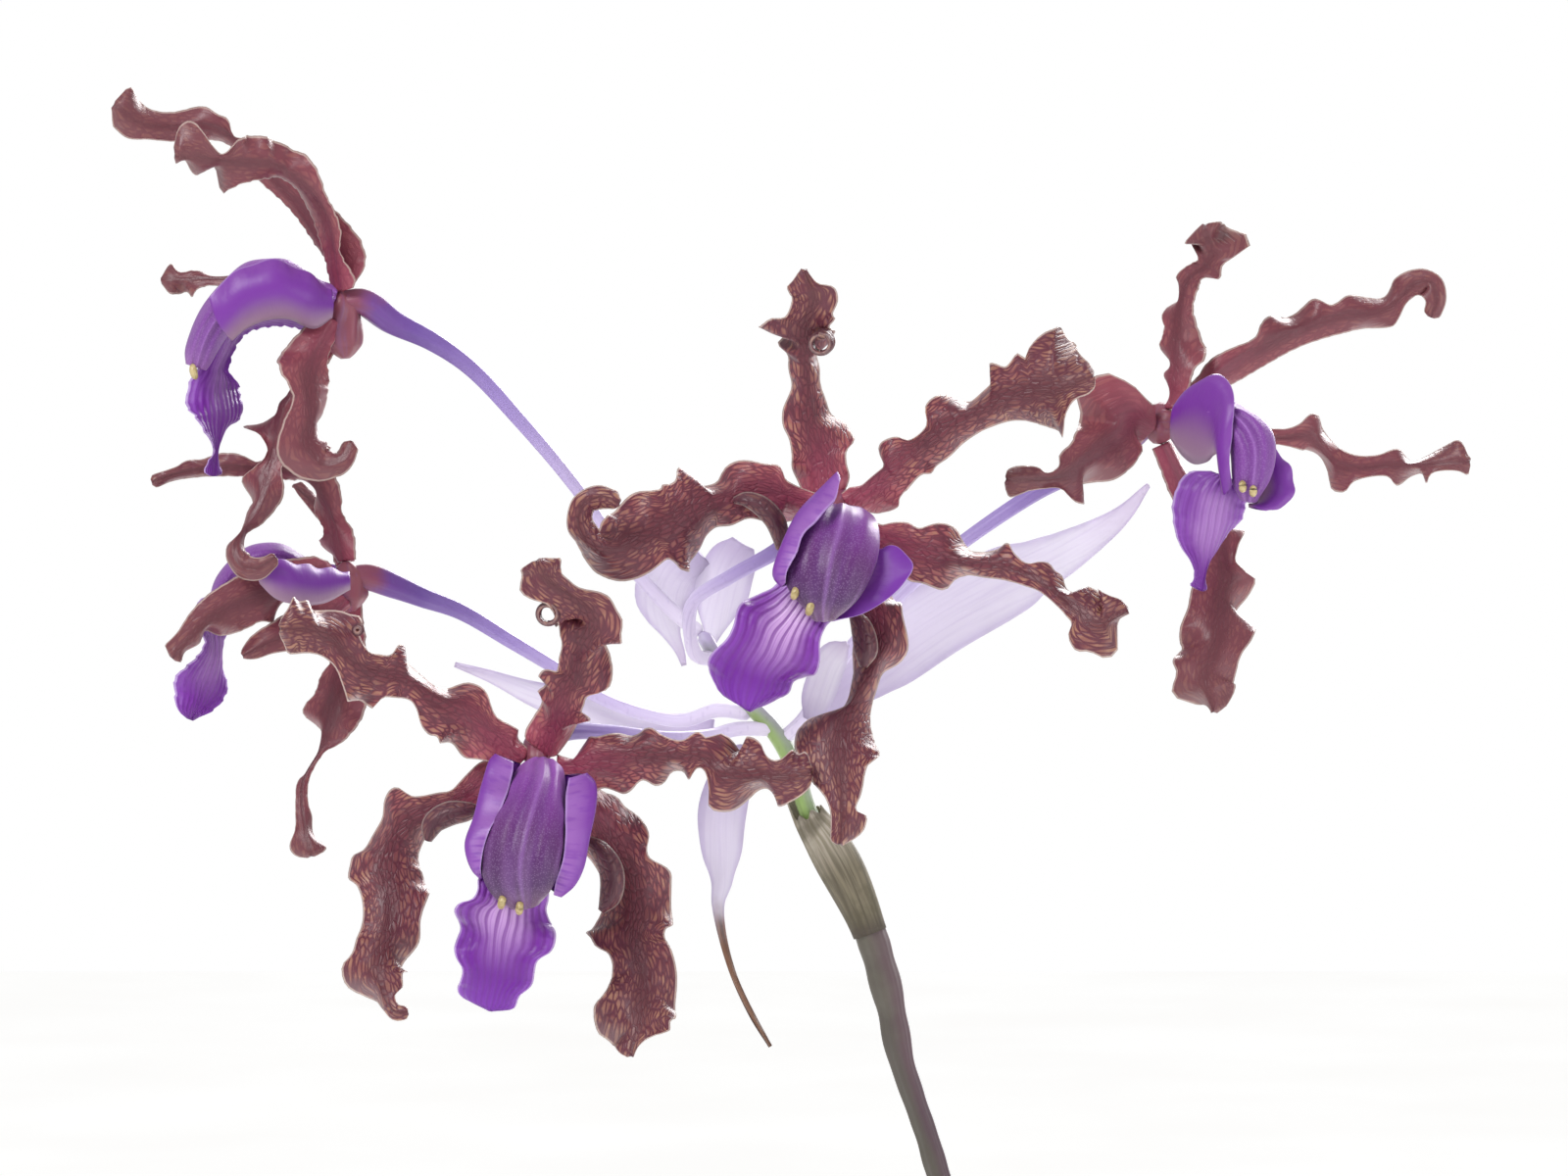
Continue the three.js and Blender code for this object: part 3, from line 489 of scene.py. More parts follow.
def lobe_material(tones):
    """Lavender side lobes with short dark dashes at their foot, greyer there where under is set."""
    paint = Paint("lip_lobe_skin")
    along, across, inner, dull = paint.values("along", "across", "inner", "under")
    cloud = paint.place().noise(260.0)
    base = inner.fade(-1.0, 1.0).ramp(0.0, 0x6C2C94, 0.5, tones.lobe, 0.8, 0x7A3C9C, 1.0, 0x925EAC)
    grain = paint.flow().stretched(9.0, 3.0, 1.0).noise(1.0)
    dash = (along * 120.0).calc("SINE").fade(0.2, 0.9)
    low = (inner - cloud * 0.5).fade(0.1, 0.6, 0.0, 0.6) * along.fade(0.5, 0.8) * (1.0 - dull)
    colour = base.tint(0x70309A, grain, 0.48, 0.66, 0.4).mix(dash * low, 0x70309A)
    colour = colour.mix(dull * 0.7, 0x6E2C90).mix(dull * across.fade(-0.1, -0.95, 0.0, 0.75), 0x9A8088)
    colour = colour.tint(0xC8B0E0, across, 0.94, 1.0, 0.35)
    return paint.finish(colour, 0.4, (cloud + grain * 0.8).bumped(0.00015, 0.7), 0.15,
                        colour.mix(0.4, 0xA050C0), **LIP_GLOSS)


def column_material(tones):
    """Waxy lavender column, greyer and darker toward its end, with soft paler ridges, a painted highlight
    on its keel with painted shade in the grooves beside it, and pale painted glints over its fine grain.
    """
    paint = Paint("column_wax")
    flow, place = paint.flow(), paint.place()
    along, soft = paint.values("along", "soft")
    base = along.ramp(0.0, 0x9256AC, 0.3, tones.column, 0.62, 0x582664, 0.86, tones.column_end,
                      1.0, 0x745C6E)
    ridge = flow.stretched(0.5, 3.5, 1.0).noise(1.0, 1.0)
    colour = base.mix(soft * 0.6, 0x8448A2).tint(0xA878BE, ridge, 0.48, 0.72, 0.2)
    # keel lightens the keel line as a painted highlight and groove darkens two thin lines beside it as
    # painted shade
    off_keel = abs(flow.part(1) - 0.75)
    groove = abs(off_keel - 0.13).fade(0.1, 0.0)
    keel = off_keel.fade(0.06, 0.0)
    colour = colour.tint(0x5C3472, ridge, 0.46, 0.28, 0.2).mix(groove * 0.3, 0x562E6C)
    # the pale specks over these fine cells are painted glints of the waxy surface
    grain = place.cells(3200.0)
    colour = colour.mix(keel * 0.3, 0xA074BC).tint(0xC8A8DC, grain, 0.5, 0.1, 0.16)
    normal = (grain * 0.35 + ridge * 0.5 + (keel - groove)).bumped(0.00012, 0.8)
    return paint.finish(colour, place.noise(150.0, 2.0).fade(0.3, 0.7, 0.36, 0.48), normal, 0.06,
                        colour.mix(0.5, 0xA860D0), Specular_IOR_Level=0.3, Sheen_Weight=0.1,
                        Sheen_Roughness=0.4)


def tooth_material(tones):
    paint = Paint("column_tooth")
    cloud = paint.place().noise(900.0, 2.0)
    colour = cloud.fade(0.35, 0.65).between(0x9E8A5C, 0xBCAA7C)
    return paint.finish(colour, 0.35, cloud.bumped(0.0001, 0.5), 0.1)


def stalk_material(name, stops, fleck, roughness=0.42, glow=0.06, shaded=None):
    """Stalk skin that changes colour along its length, with fine long ribs and flecks, and where shaded is
    given, painted shade down one side from a darker copy of its colours.
    """
    paint = Paint(name)
    flow, place = paint.flow(), paint.place()
    along, = paint.values("along")
    cloud = place.noise(120.0)
    shifted = along + (cloud - 0.5) * 0.12
    colour = shifted.ramp(*stops)
    rib = flow.stretched(0.5, 9.0, 1.0).noise(1.0)
    dots = place.stretched(1.0, 1.0, 0.45).cells(900.0)
    if shaded:
        # one side of the stalk takes the shaded colours as painted shade
        shaded_side = (flow.part(1) * FULL_TURN).calc("COSINE") + cloud * 1.2
        colour = colour.tint(shifted.ramp(*shaded), shaded_side, 1.1, -0.1, 0.85)
    colour = colour.tint(fleck, rib, 0.5, 0.72, 0.25).tint(fleck, dots, 0.32, 0.12, 0.12)
    return paint.finish(colour, roughness, (rib + dots * 0.08).bumped(0.0002, 0.7), glow,
                        Sheen_Weight=0.15, Sheen_Roughness=0.35)


def bract_material(tones):
    """Papery bract: pale lavender with fine veins, drying to tan and brown at its tip."""
    paint = Paint("bract_paper")
    along, across, dry = paint.values("along", "across", "dry")
    cloud = paint.place().noise(90.0, 4.0)
    veins = paint.flow().stretched(0.35, 13.0, 1.0).noise(1.0)
    base = along.ramp(0.0, 0xB8ACC6, 0.3, tones.bract, 0.75, 0xDCD8E2, 1.0, 0xD0C6D8)
    colour = base.tint(0xB4A6C6, veins, 0.45, 0.7, 0.22).tint(0xB4A4C8, abs(across), 0.65, 1.0, 0.4)
    husk = veins.fade(0.4, 0.65).between(0x54382F, 0x94705C)
    colour = colour.tint(husk, dry + (cloud - 0.5) * 0.35, 0.35, 0.6)
    return paint.finish(colour, 0.55, (veins + cloud * 0.6).bumped(0.0003, 0.7), 0.42, Sheen_Weight=0.05)


def sheath_material(tones):
    """Dry papery sheath, straw and grey, with long fibres and brown blotches."""
    paint = Paint("sheath_paper")
    along, = paint.values("along")
    cloud = paint.place().noise(110.0, 4.0)
    fibre = paint.flow().stretched(0.6, 16.0, 1.0).noise(1.0, 4.0)
    strand = fibre.fade(0.35, 0.65)
    low, high = strand.between(0x5C5444, 0x857C68), strand.between(0x8C8470, tones.sheath)
    colour = low.tint(high, along, 0.45, 0.85).tint(0x5A5340, cloud, 0.45, 0.6, 0.7)
    colour = colour.tint(0x4C423C, along, 0.16, 0.0, 0.8)
    normal = (fibre + cloud * 0.5).bumped(0.0004, 0.9)
    return paint.finish(colour, fibre.fade(0.3, 0.7, 0.55, 0.8), normal, 0.25)


def bulb_material(tones):
    """Green furrowed bulb, yellower on the ridges and tinged brown at its foot and top."""
    paint = Paint("bulb_skin")
    place = paint.place()
    along, ridge = paint.values("along", "ridge")
    cloud = place.noise(45.0, 4.0)
    base = along.ramp(0.0, 0x7A6A3E, 0.12, 0x8B9448, 0.5, tones.bulb, 0.85, 0x6F8438, 1.0, 0x6E6A44)
    colour = base.tint(0xAEB061, ridge, 0.3, 1.0, 0.45).tint(0x7B5B3F, cloud, 0.52, 0.75, 0.45)
    speck = place.cells(520.0)
    streak = paint.flow().stretched(0.35, 8.0, 1.0).noise(1.0)
    colour = colour.tint(0x4F4A28, speck, 0.22, 0.08, 0.45).tint(0xC2C48A, streak, 0.5, 0.75, 0.3)
    return paint.finish(colour, cloud.fade(0.3, 0.7, 0.34, 0.55),
                        (streak + speck * 0.2).bumped(0.0004, 0.8), Specular_IOR_Level=0.55)


def leaf_material(tones):
    """Leathery leaf: deep green with fine long veins, a pale keel and a brown tip."""
    paint = Paint("leaf_skin")
    place = paint.place()
    along, across, under = paint.values("along", "across", "under")
    edge = abs(across)
    cloud = place.noise(28.0, 4.0)
    veins = paint.flow().stretched(0.12, 7.0, 1.0).noise(1.0)
    speck = place.cells(300.0)
    colour = cloud.fade(0.35, 0.68).between(tones.leaf, 0x52803C)
    colour = colour.tint(0x6F9A52, veins, 0.48, 0.72, 0.4).tint(0x93AE68, edge, 0.07, 0.0, 0.6)
    colour = colour.tint(0x7E7A45, edge, 0.95, 1.0, 0.5)
    colour = colour.mix(under, colour.mix(0.4, 0x86A266)).tint(0x9DA765, along, 0.08, 0.0, 0.7)
    colour = colour.tint(0x6A4B30, along + cloud * 0.05, 0.985, 1.02)
    colour = colour.tint(0x3C4A26, speck, 0.16, 0.06, 0.4)
    return paint.finish(colour, cloud.fade(0.3, 0.7, 0.3, 0.44), (veins + speck * 0.15).bumped(0.0005, 0.7),
                        0.08, 0x7FB040, Specular_IOR_Level=0.55)


def root_material(tones):
    """Rhizome and roots: brown rings and husks, with silver green skin on the roots."""
    paint = Paint("rhizome_skin")
    root, = paint.values("root")
    cloud = paint.place().noise(160.0, 4.0)
    rings = paint.flow().stretched(7.0, 1.0, 1.0).noise(1.0)
    wood = rings.fade(0.4, 0.62).between(0x4A3722, 0x8E7A48)
    silver = cloud.fade(0.38, 0.66).between(0xC9C7B4, 0x9AA079)
    colour = wood.mix(root, silver).tint(0x5C4630, cloud, 0.58, 0.75, 0.6)
    return paint.finish(colour, cloud.fade(0.3, 0.7, 0.6, 0.85), (rings + cloud).bumped(0.0006, 0.9))


def clay_material(tones):
    """Fired clay: warm orange with thrown rings, lime bloom low down and worn edges."""
    paint = Paint("pot_clay")
    place = paint.place()
    cloud = place.noise(22.0, 5.0, 0.6)
    grit = place.noise(900.0, 3.0, 0.6)
    rings = place.stretched(6.0, 6.0, 420.0).noise(1.0)
    bloom = place.noise(55.0, 5.0, 0.65).fade(0.5, 0.68) * place.part(2).fade(0.085, 0.01, 0.12, 0.7)
    damp = place.noise(34.0, 4.0)
    colour = cloud.fade(0.35, 0.7).between(tones.clay, 0xC98058).tint(0x9C5434, rings, 0.45, 0.7, 0.3)
    colour = colour.mix(bloom, 0xDCC9B4).tint(0x87492F, damp, 0.52, 0.72, 0.35)
    colour = colour.tint(0xE0B08C, grit, 0.62, 0.74, 0.5).tint(0x6E3A26, grit, 0.36, 0.28, 0.5)
    return paint.finish(colour, cloud.fade(0.3, 0.7, 0.75, 0.92), (grit + rings * 1.6).bumped(0.0005, 0.8))


def bark_material(tones):
    """Fir bark chips: red brown to grey, with layered grain that differs from chip to chip."""
    paint = Paint("bark_chips")
    place = paint.place()
    chip, = paint.values("chip")
    layer = place.wobbled(60.0, 0.006).stretched(90.0, 90.0, 900.0).noise(1.0, 4.0)
    cloud = place.noise(240.0, 5.0, 0.65)
    base = chip.ramp(0.0, 0x4B2F20, 0.35, tones.bark, 0.65, 0x8A5D40, 0.85, 0x7A6A5C, 1.0, 0xA07A58)
    colour = base.tint(0x3A2418, layer, 0.42, 0.6, 0.6).tint(0xB08A66, cloud, 0.55, 0.75, 0.5)
    return paint.finish(colour, cloud.fade(0.3, 0.7, 0.75, 0.95), (layer + cloud).bumped(0.001, 0.9))


def floor_material(tones):
    paint = Paint("studio_floor")
    colour = paint.place().noise(2.0).fade(0.3, 0.7).between(tones.floor, 0xFBFBFA)
    return paint.finish(colour, 0.85, None, Emission_Color=(1, 1, 1, 1), Emission_Strength=0.4)


MAKERS = {
    "tepal": tepal_material, "lip": lip_material, "lobe": lobe_material, "column": column_material,
    "tooth": tooth_material, "bract": bract_material, "sheath": sheath_material,
    "bulb": bulb_material, "leaf": leaf_material, "root": root_material, "clay": clay_material,
    "bark": bark_material, "floor": floor_material,
}
made_materials = {}


def material_for(kind):
    if kind not in made_materials:
        made_materials[kind] = MAKERS[kind](bpy.context.scene.orchid_tones)
    return made_materials[kind]


def declare(piece, slot, *nodes):
    """Tell the frame what the piece rides on and hide the nodes that it stands for; slot, its finish, is
    not used.
    """
    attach(piece, BODY)
    if nodes:
        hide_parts(*nodes)


# Flowers. face gives the middle of the flower on the sheet and its depth, and how far its face is
# turned to the right and lifted, in degrees. A blade has a middle line from foot to tip, the outlines
# to the left and the right of that line as it runs, and turn, how far it is turned away from the
# sheet at each end. A side lobe has three rails from its foot to its rim.
TEPALS = ("dorsal_sepal", "right_petal", "left_petal", "right_sepal", "left_sepal")
PARTS = ("face", *TEPALS, "lip", "lobes", "column", "teeth")
FLOWER_LINES = """
flower_1
face centre 8.5,13.5,9 turn -9,-20
dorsal_sepal
mid -1.5,2,1 -2,8.5,1.5 -4,15,1 -4.5,21.5,0 -5,27,-2 -5,31,-4.5 -3.5,36,-8 -5,40.5,-10
left -5,2.5 -6,5 -7,7 -7,9 -7.5,12 -8.5,14 -8.5,16.5 -7,20 -7.5,23 -7.5,24.5 -9.5,26 -8,26.5 -8.5,28
-12.5,28.5 -12.5,30 -11.5,31.5 -10.5,32.5 -8,33 -7,35.5 -8,37.5 -7,37.5 -6,39 -5,41
right 1.5,2.5 2.5,5.5 2,7.5 2,10 3.5,11.5 3,12.5 2,14 -.5,15.5 -1.5,18 -2.5,21 -2.5,23 -3,25.5 -1,26
0,28.5 0,29.5 -1,31 0,32 -.5,33 .5,35 0,37.5 -1,38 -3,38.5 -5,41
curls -2.2,28.2,-9 -2.2,28.2,-5
right_petal
mid 2,1,0 8,6.5,-.5 16.5,12.5,-1 24.5,17,-2.5 32,20,-5 38.5,20.5,-7.5 44,22.5,-9.5
left 2.5,3.5 5,4 7,5.5 8.5,7.5 7.5,9.5 8,11 10,12 11.5,12 12.5,11.5 15,13 16,14.5 15.5,17 16.5,18.5 18,19
20,18.5 22,17.5 24,19 25.5,21 25.5,24 27,24.5 29.5,24 31.5,26.5 33,25 33,26.5 35,29.5 36.5,30.5 37,28
38.5,26.5 41.5,25 44.5,24
right 7,-1 9.5,-.5 11,.5 11,1.5 12.5,3.5 15,6 16.5,6 17,7 19,8.5 21.5,11 24.5,13 28.5,14.5 31.5,14.5
35.5,13.5 38,12 39,14 40,17 41.5,19 43,19.5 44.5,21
left_petal
mid -2,.5,0 -9,2.5,-.5 -15,3,-1.5 -20,1.5,-3 -26,-1.5,-5 -32,-4.5,-8 -38,-7,-11 -42,-5.5,-13 -43.5,-2,-14
-42.5,1,-15 -39.5,2,-16 -36.5,1,-17
right -4.5,3 -7,4 -8.5,5 -9,7 -12,7.5 -14,8 -16,8 -17.5,7 -18,5 -20,4.5 -22,5 -23,7.5 -24,7.5 -26,7
-27,4.5 -28.5,4 -29.5,5.5 -29,3.5 -30.5,3 -33,3 -35,.5 -37.5,-1 -38,-4 -40,-3.5 -41.2,-2 -41,-.5 -39,.2
-37,0
left -8.5,-1 -8.5,-4 -10,-6.5 -10,-4.5 -10.5,-3 -12,-2 -14.5,-1.5 -17,-2.5 -19,-2.5 -20.5,-4 -21,-5.5
-22.5,-8 -23.5,-10 -26,-10 -27.5,-9 -28.5,-8.5 -31,-10.5 -33.5,-11.5 -35.5,-11.5 -38.5,-10.5 -41,-8.5
-43,-6.5 -45,-4 -45.2,-1 -44,2 -40.5,3.8 -37,3
folds -17,1.4,-3,.3 -15,1.6,-4,1 -12.6,.6,-4.5,1.3 -10.2,-1.8,-4.5,1.3 -9.2,-4.5,-3.5,1.1 -9.3,-7,-2.5,.3
right_sepal
mid 3,-3,1.5 14.5,-7,1 22,-9,-1 30,-10,-3 36,-13,-6 41,-17,-8 45,-19.5,-10 50,-17.5,-11
left 8,-3 10,-2.5 12.5,-2.5 14.5,-3.5 16,-3 18,-2.5 19.5,-3 20.5,-5.5 22,-7 24.5,-7.5 27,-7 28.5,-6
29.5,-6 30.5,-7.5 33,-9.5 36,-9 36.5,-10 38,-11 38.5,-13 41,-13.5 41.5,-12.5 44,-13.5 47,-15 50.5,-16
right 7,-11.5 12,-11 12.5,-12 15,-12.5 18,-13.5 19,-11.5 21.5,-11 25,-11.5 29,-12 32.5,-13 35,-14 37.5,-16
39.5,-18 41,-20 40,-21.5 41,-24 43.5,-24 45.5,-25.5 48,-24 49,-22.5 47,-21 48.5,-18.5
left_sepal
mid 0,-4,1.5 3,-10,2.5 6.5,-17,2 8,-23,.5 5.5,-29,-1.5 1.5,-36,-4 1,-43,-7 1.5,-50,-10 1,-57,-12
left 9,-15.5 11,-15.5 11.5,-18 12.5,-23.5 11.5,-25 9,-26.5 8,-28.5 7,-32.5 7,-37.5 7.5,-41.5 5.5,-44
4.5,-48.5 3.5,-51.5 5.5,-50.5 5,-54 1.5,-57
right 2.5,-17.5 3.5,-19 3.5,-22.5 4,-26.5 3.5,-29 2.5,-32.5 1,-33 -3,-33.5 -5,-35 -6,-36.5 -6.5,-40
-5,-43.5 -3.5,-46.5 -1.5,-49 -.5,-51.5 -.5,-56.5
folds 3,-17.5,-1,.4 4.6,-20,-1,1.4 5.4,-23.5,-1.2,1.6 5,-27,-1.6,.4
lip
mid -.5,-3.5,-1.5 -.5,-7,-7 -2.5,-12,-11.5 -5.5,-16.5,-13.5 -9,-22,-14 -12,-28,-13 -14.5,-34.5,-11
right -9.5,-12.5 -13,-14.5 -16,-16.5 -17,-20 -18,-22 -20.5,-24.5 -21.5,-26.5 -21.5,-29 -20,-31.5 -19,-33
-17,-34 -14,-34.5
left -.5,-19 -1.5,-20 -2.5,-22.5 -2.5,-26 -3.5,-28.5 -5.5,-29.5 -7.5,-30.5 -8,-32 -10.5,-33.5 -14,-34.5
lobes
first 5,-6,-8 6,-9,-10 5,-12.5,-11.5 3,-15,-12.5 1,-17,-13 -1,-18.3,-13.3 ; 6.5,-6.8,-9.5 8.5,-7.8,-10.5
9.5,-9.8,-11.5 9,-12,-12.5 6.5,-14.6,-13.5 3.5,-17,-14 0,-18.6,-14 ; 7.5,-7.5,-9 10.5,-6.5,-10 12.5,-8,-11
13.5,-10,-12 12,-12.5,-13 9,-15.5,-14 4.5,-18,-14.5 .5,-19,-14.5 -1,-19,-14
second -.5,1.5,-5 -3,-2,-8 -5,-6,-11 -6.5,-9,-13 -7,-11.5,-14 -7.5,-13,-14.5 ; .5,5.8,-8 -3.2,2.3,-11
-6.3,-1.2,-14 -8.3,-5.2,-16 -9.8,-9,-17 -10.1,-11.5,-17 -8.9,-13.2,-16.5 ; 1,5,-11 .5,2.5,-14 -1,0,-16.5
-4.5,-3.5,-19 -6.5,-7.5,-20 -8,-11,-19.5 -8.3,-12.8,-18
column
mid 1.2,-.8,-3 1,-2.4,-7 .4,-5.5,-11.5 -.6,-9.5,-14.5 -1.3,-13.5,-16 -1.8,-17,-15.5 -1.8,-18.2,-14.5
left 3,.9 4.5,.5 6.5,-1.5 7.5,-3.5 7.7,-7 7,-10 4.5,-15 2.5,-17 .5,-18
right -1,1 -2,.5 -3.5,-1.5 -6.2,-4 -8,-6.5 -8.5,-10 -8,-13.5 -6,-16 -3.5,-17.5
front 1.8 3.2 4.6 5.2 4.8 3.6 1.6
tip 2.2
teeth
first -6.2,-13.2,-17.5 -6.6,-14.3,-18.4 -7,-15.4,-17.6
second -3.7,-15.8,-17.8 -4.1,-17,-18.4 -4.4,-18,-17.2
flower_2
face centre -42,-29,8 turn -8,-45
dorsal_sepal
mid 1.5,.5,-1 2.5,4,-3 3.5,8.5,-6 5.5,13,-8 6.5,16,-10 8,19.5,-13 9.5,23,-15 8,26,-17 5,28,-19
1.5,30.5,-21 0,33.5,-22
left -2,2.5 -2,4 -.5,5.5 .5,7 0,9 -.5,9.5 1,11 0,13 1.5,15 3.5,15 4,17.5 4.5,19.5 4,22 3.5,23.5 1.5,26.5
-.5,27 -2.5,28 -2,30 -3,32.5 -4,33 -2,34
right 5.5,2.5 7,4.5 8.5,5 8.5,7 7.5,8 8,9.5 8.5,11 9.5,11 12,11.5 12,13 10.5,15 10,16 11.5,17.5 14,19
14,21 14.5,23 13.5,25 12,27.5 9.5,28.5 7,29 5,30.5 4,31.5 4,34 2.5,33.5 0,34.5
curls 1.9,24.7,-20 1.9,24.7,-16
left_petal
mid -2.5,-.5,-1 -7,4,-2.5 -12.5,8.5,-4 -17.5,10.5,-5 -22,13.5,-6 -26.5,14.5,-7.5 -30,15.5,-9
-32.5,17.5,-10 -35,20.5,-11 -38.5,22,-12.5 -43.5,22,-14
right -1.5,1.5 -3,3 -3,4.5 -4.5,5.5 -7,7 -8,9 -8.5,11 -9.5,12 -11.5,12.5 -14.5,11.5 -17,12 -19,13.5
-20.5,15 -21.5,16.5 -21.5,19 -23.5,19 -25,17.5 -26.5,17.5 -28.5,18 -30,20 -30.5,22 -29.5,23 -30,24
-31.5,23.5 -32,24 -34.5,24 -36.5,24.5 -37.5,25.5 -37,26.5 -39.5,26.5 -41,27.5 -42,25.5 -43.5,23.5 -45,22.5
left -7.5,-.5 -10,0 -12,0 -13.5,2 -16,2.5 -17,4 -18,4 -19.5,5.5 -20.5,8.5 -21.5,10 -24,10.5 -26.5,10.5
-27,9 -26.5,8 -27.5,8 -28,9.5 -30.5,9.5 -31.5,9.5 -33,12.5 -34.5,16 -36.5,17.5 -38.5,18 -42,18 -43,18.5
-42.5,20 -45,21
curls -30.5,21.9,-12 -30.5,21.9,-10.6
right_petal
mid 3.5,-1,-.5 11.5,0,-2.5 17.5,1,-4 23.5,.5,-5 28.5,0,-6 31,-2,-7 34.5,-3,-8 39,-3,-9 43.5,-3,-10
46.5,-2.5,-11
left 5.5,-.5 7,2 8.5,3.5 10,3.5 12,4 13.5,4 15,3.5 16.5,4 18,5 19.5,5 21,4 23.5,3 25,3 27.5,4.5 29,3
29.5,3.5 31,4.5 32.5,3.5 34,1.5 33.5,3.5 36,3.5 38,2.5 39,.5 40.5,-.5 42,0 43,1.5 43.5,.5 45.5,1 46.5,-.5
right 8.5,-6 10,-5 12,-5.5 14,-6 15.5,-5.5 18,-3.5 20,-4.5 21,-4 22,-2 24,-2 25.5,-3.5 27.5,-1.5 29,-2.5
29.5,-4.5 29,-6.5 28,-7 29.5,-8.5 32,-8.5 33.5,-7.5 36,-5.5 38,-5 39.5,-6.5 40.5,-8 43.5,-7 46,-5
46.5,-3.5
left_sepal
mid -4,-2,2.5 -10,-5,4 -16,-8,5.5 -21,-10,6 -24.5,-13,6 -26,-18,5 -25,-24,3 -25.5,-30,0 -27,-36,-3
-25.5,-41.5,-5 -24,-43.2,-6 -22,-43,-6.5
right -9,-.5 -10,-1 -12.5,-3.5 -14.5,-5.5 -17,-6 -19.5,-6.5 -21.5,-6.5 -23.5,-5 -25,-5.5 -26,-7.5 -26,-10
-27.5,-12.5 -29,-14.5 -31,-15.5 -31.5,-17 -32,-19 -32,-20 -30.5,-21.5 -29.5,-24.5 -29.5,-27.5 -30.5,-30.5
-31.5,-33.5 -33,-34.5 -32.5,-37 -31.5,-37.5 -28,-39.5 -26.5,-42 -24.5,-44.4 -21.5,-44.2
left -10,-10.5 -12.5,-10.5 -16,-11.5 -18.5,-12.5 -20,-15.5 -20,-17.5 -19.5,-20 -18.5,-22 -19,-24 -20,-27.5
-20,-30 -21.5,-31.5 -22.5,-33.5 -22,-35.5 -23,-36.5 -23,-39 -24.2,-40.5 -23.5,-42 -22,-42
folds -9.5,-8.6,2,.3 -12,-9,1,1.3 -15,-9.4,1,1.6 -17.6,-11,1,1.4 -18.6,-14,1.5,.4
right_sepal
mid 4,-4,2.5 9.5,-9.5,5 12.5,-14.5,6.5 15.5,-19,7 17,-25,6 16.5,-31,4 18,-37,1.5 17.5,-43,-1.5 16,-50.5,-5
left 12,-7 14,-7.5 15.5,-9.5 18,-11 19,-13 18.5,-15.5 19,-17 22.5,-19 22.5,-21 22.5,-24 23,-28 22,-28.5
21.5,-30 22.5,-32 23.5,-36 23.5,-40 23.5,-43.5 22.5,-44.5 22.5,-46 20.5,-47 17.5,-48.5 16,-51.5
right 8.5,-13.5 8,-16 9.5,-17.5 11,-20 11.5,-22.5 11,-25 9.5,-27.5 8.5,-28.5 9.5,-30.5 10,-32 12,-33
13,-35 12.5,-38 11.5,-40 10,-41 11,-44 13,-45 14,-46.5 13.5,-48 14.5,-50 16,-51.5
folds 8,-13.6,4,.4 10.6,-15.6,3,1.3 12.6,-19,3,1.6 12.6,-23,3,1.5 11,-26,3.5,.4
lip
mid 0,-3,-2 0,-9,-8 -2.5,-16,-12 -4,-22,-14 -5.5,-28,-14 -6.5,-35,-12.5 -8,-43,-10
right -10,-20.5 -10,-22.5 -11,-24 -13,-24.5 -14,-26 -13.5,-28 -13,-30 -14,-32.5 -13.5,-34 -12.5,-35.5
-13,-38 -13.5,-39.5 -13,-41 -11,-42 -9,-43.5 -8,-43.5
left 2,-23.5 1.5,-25.5 2,-28 3,-30 2.5,-32.5 0,-34 -.5,-36 -1,-38.5 -3,-40 -4,-42.5 -6,-43 -8,-43.5
lobes
first 4.5,-3,-3 5,-8,-7 4.5,-14,-10.5 3,-19,-12 2,-22,-12.5 ; 8.3,-2.6,-6 9.7,-4.2,-8 9.8,-8,-10.5
8.8,-13,-13 7.7,-18.5,-14.5 6.2,-21.5,-14.5 4,-23.3,-14 ; 5.4,-3.4,-9 4.9,-6,-11 4.8,-10.5,-14 4.6,-16,-16
3.2,-21,-16 2.8,-23,-15
second -3,-1,-2 -4,-5,-5 -5.5,-10,-8.5 -7,-15,-11 -8,-19.8,-12.5 ; -7,.6,-6 -7.9,-.5,-7.5 -9.2,-4.5,-10
-10.7,-10.5,-13 -12,-14.5,-15 -11.6,-17,-15.5 -10.5,-19.2,-15 -9.4,-20.4,-14.5 ; -4,-.7,-8 -4.4,-3.5,-10
-5.4,-7,-13 -6.8,-10,-15 -8.9,-14.5,-17 -9.5,-18.5,-17 -9.4,-20.2,-15.5
column
mid 1,-1,-2 .6,-4,-6 -.8,-9,-11 -2.2,-14.5,-14.5 -2.9,-19,-16 -2.6,-22.5,-15.5 -2.2,-25,-14
left 3,0 4.2,-1.2 4.8,-4 4.7,-8 4.8,-12 4.6,-14.5 3.8,-19 2.5,-22 .5,-24.6
right -1,0 -3,-1.5 -4.5,-4 -6,-8 -8,-11.5 -9,-14.5 -9.5,-19 -8.5,-22 -6.5,-24.3 -4.5,-25
front 1.6 3 4.4 5 4.8 3.4 1.3
tip 2
teeth
first -5.7,-23.2,-17 -6,-24.4,-17.6 -6.2,-25.5,-16.8
second -2.8,-24.2,-16.6 -3,-25.5,-17 -3,-26.4,-16
flower_3
face centre 65,28.5,38 turn 40,-5
dorsal_sepal
turn 40,20
mid .5,2,0 1.5,9,0 2,15,0 2.5,20,-1 4,24,-2 6.5,26,-4 8,28.5,-6 6.5,33,-8
left -.5,3 0,4.5 -1.5,8 -.5,9.5 -1.5,12 0,15.5 -1,18.5 1,20.5 1.5,24.5 4.5,26.5 6,27.5 3,29.5 4.5,31.5
6.5,33.5
right 3,4 4,6.5 4.5,8.5 5.5,10.5 5,12 4,13.5 4,16.5 4.5,20.5 5.5,23 7,24.5 9,24 10,27 11.5,28 14,28.5
12,30 9.5,29.5 8.5,31 9,33 6.5,33.5
right_petal
turn -20,0
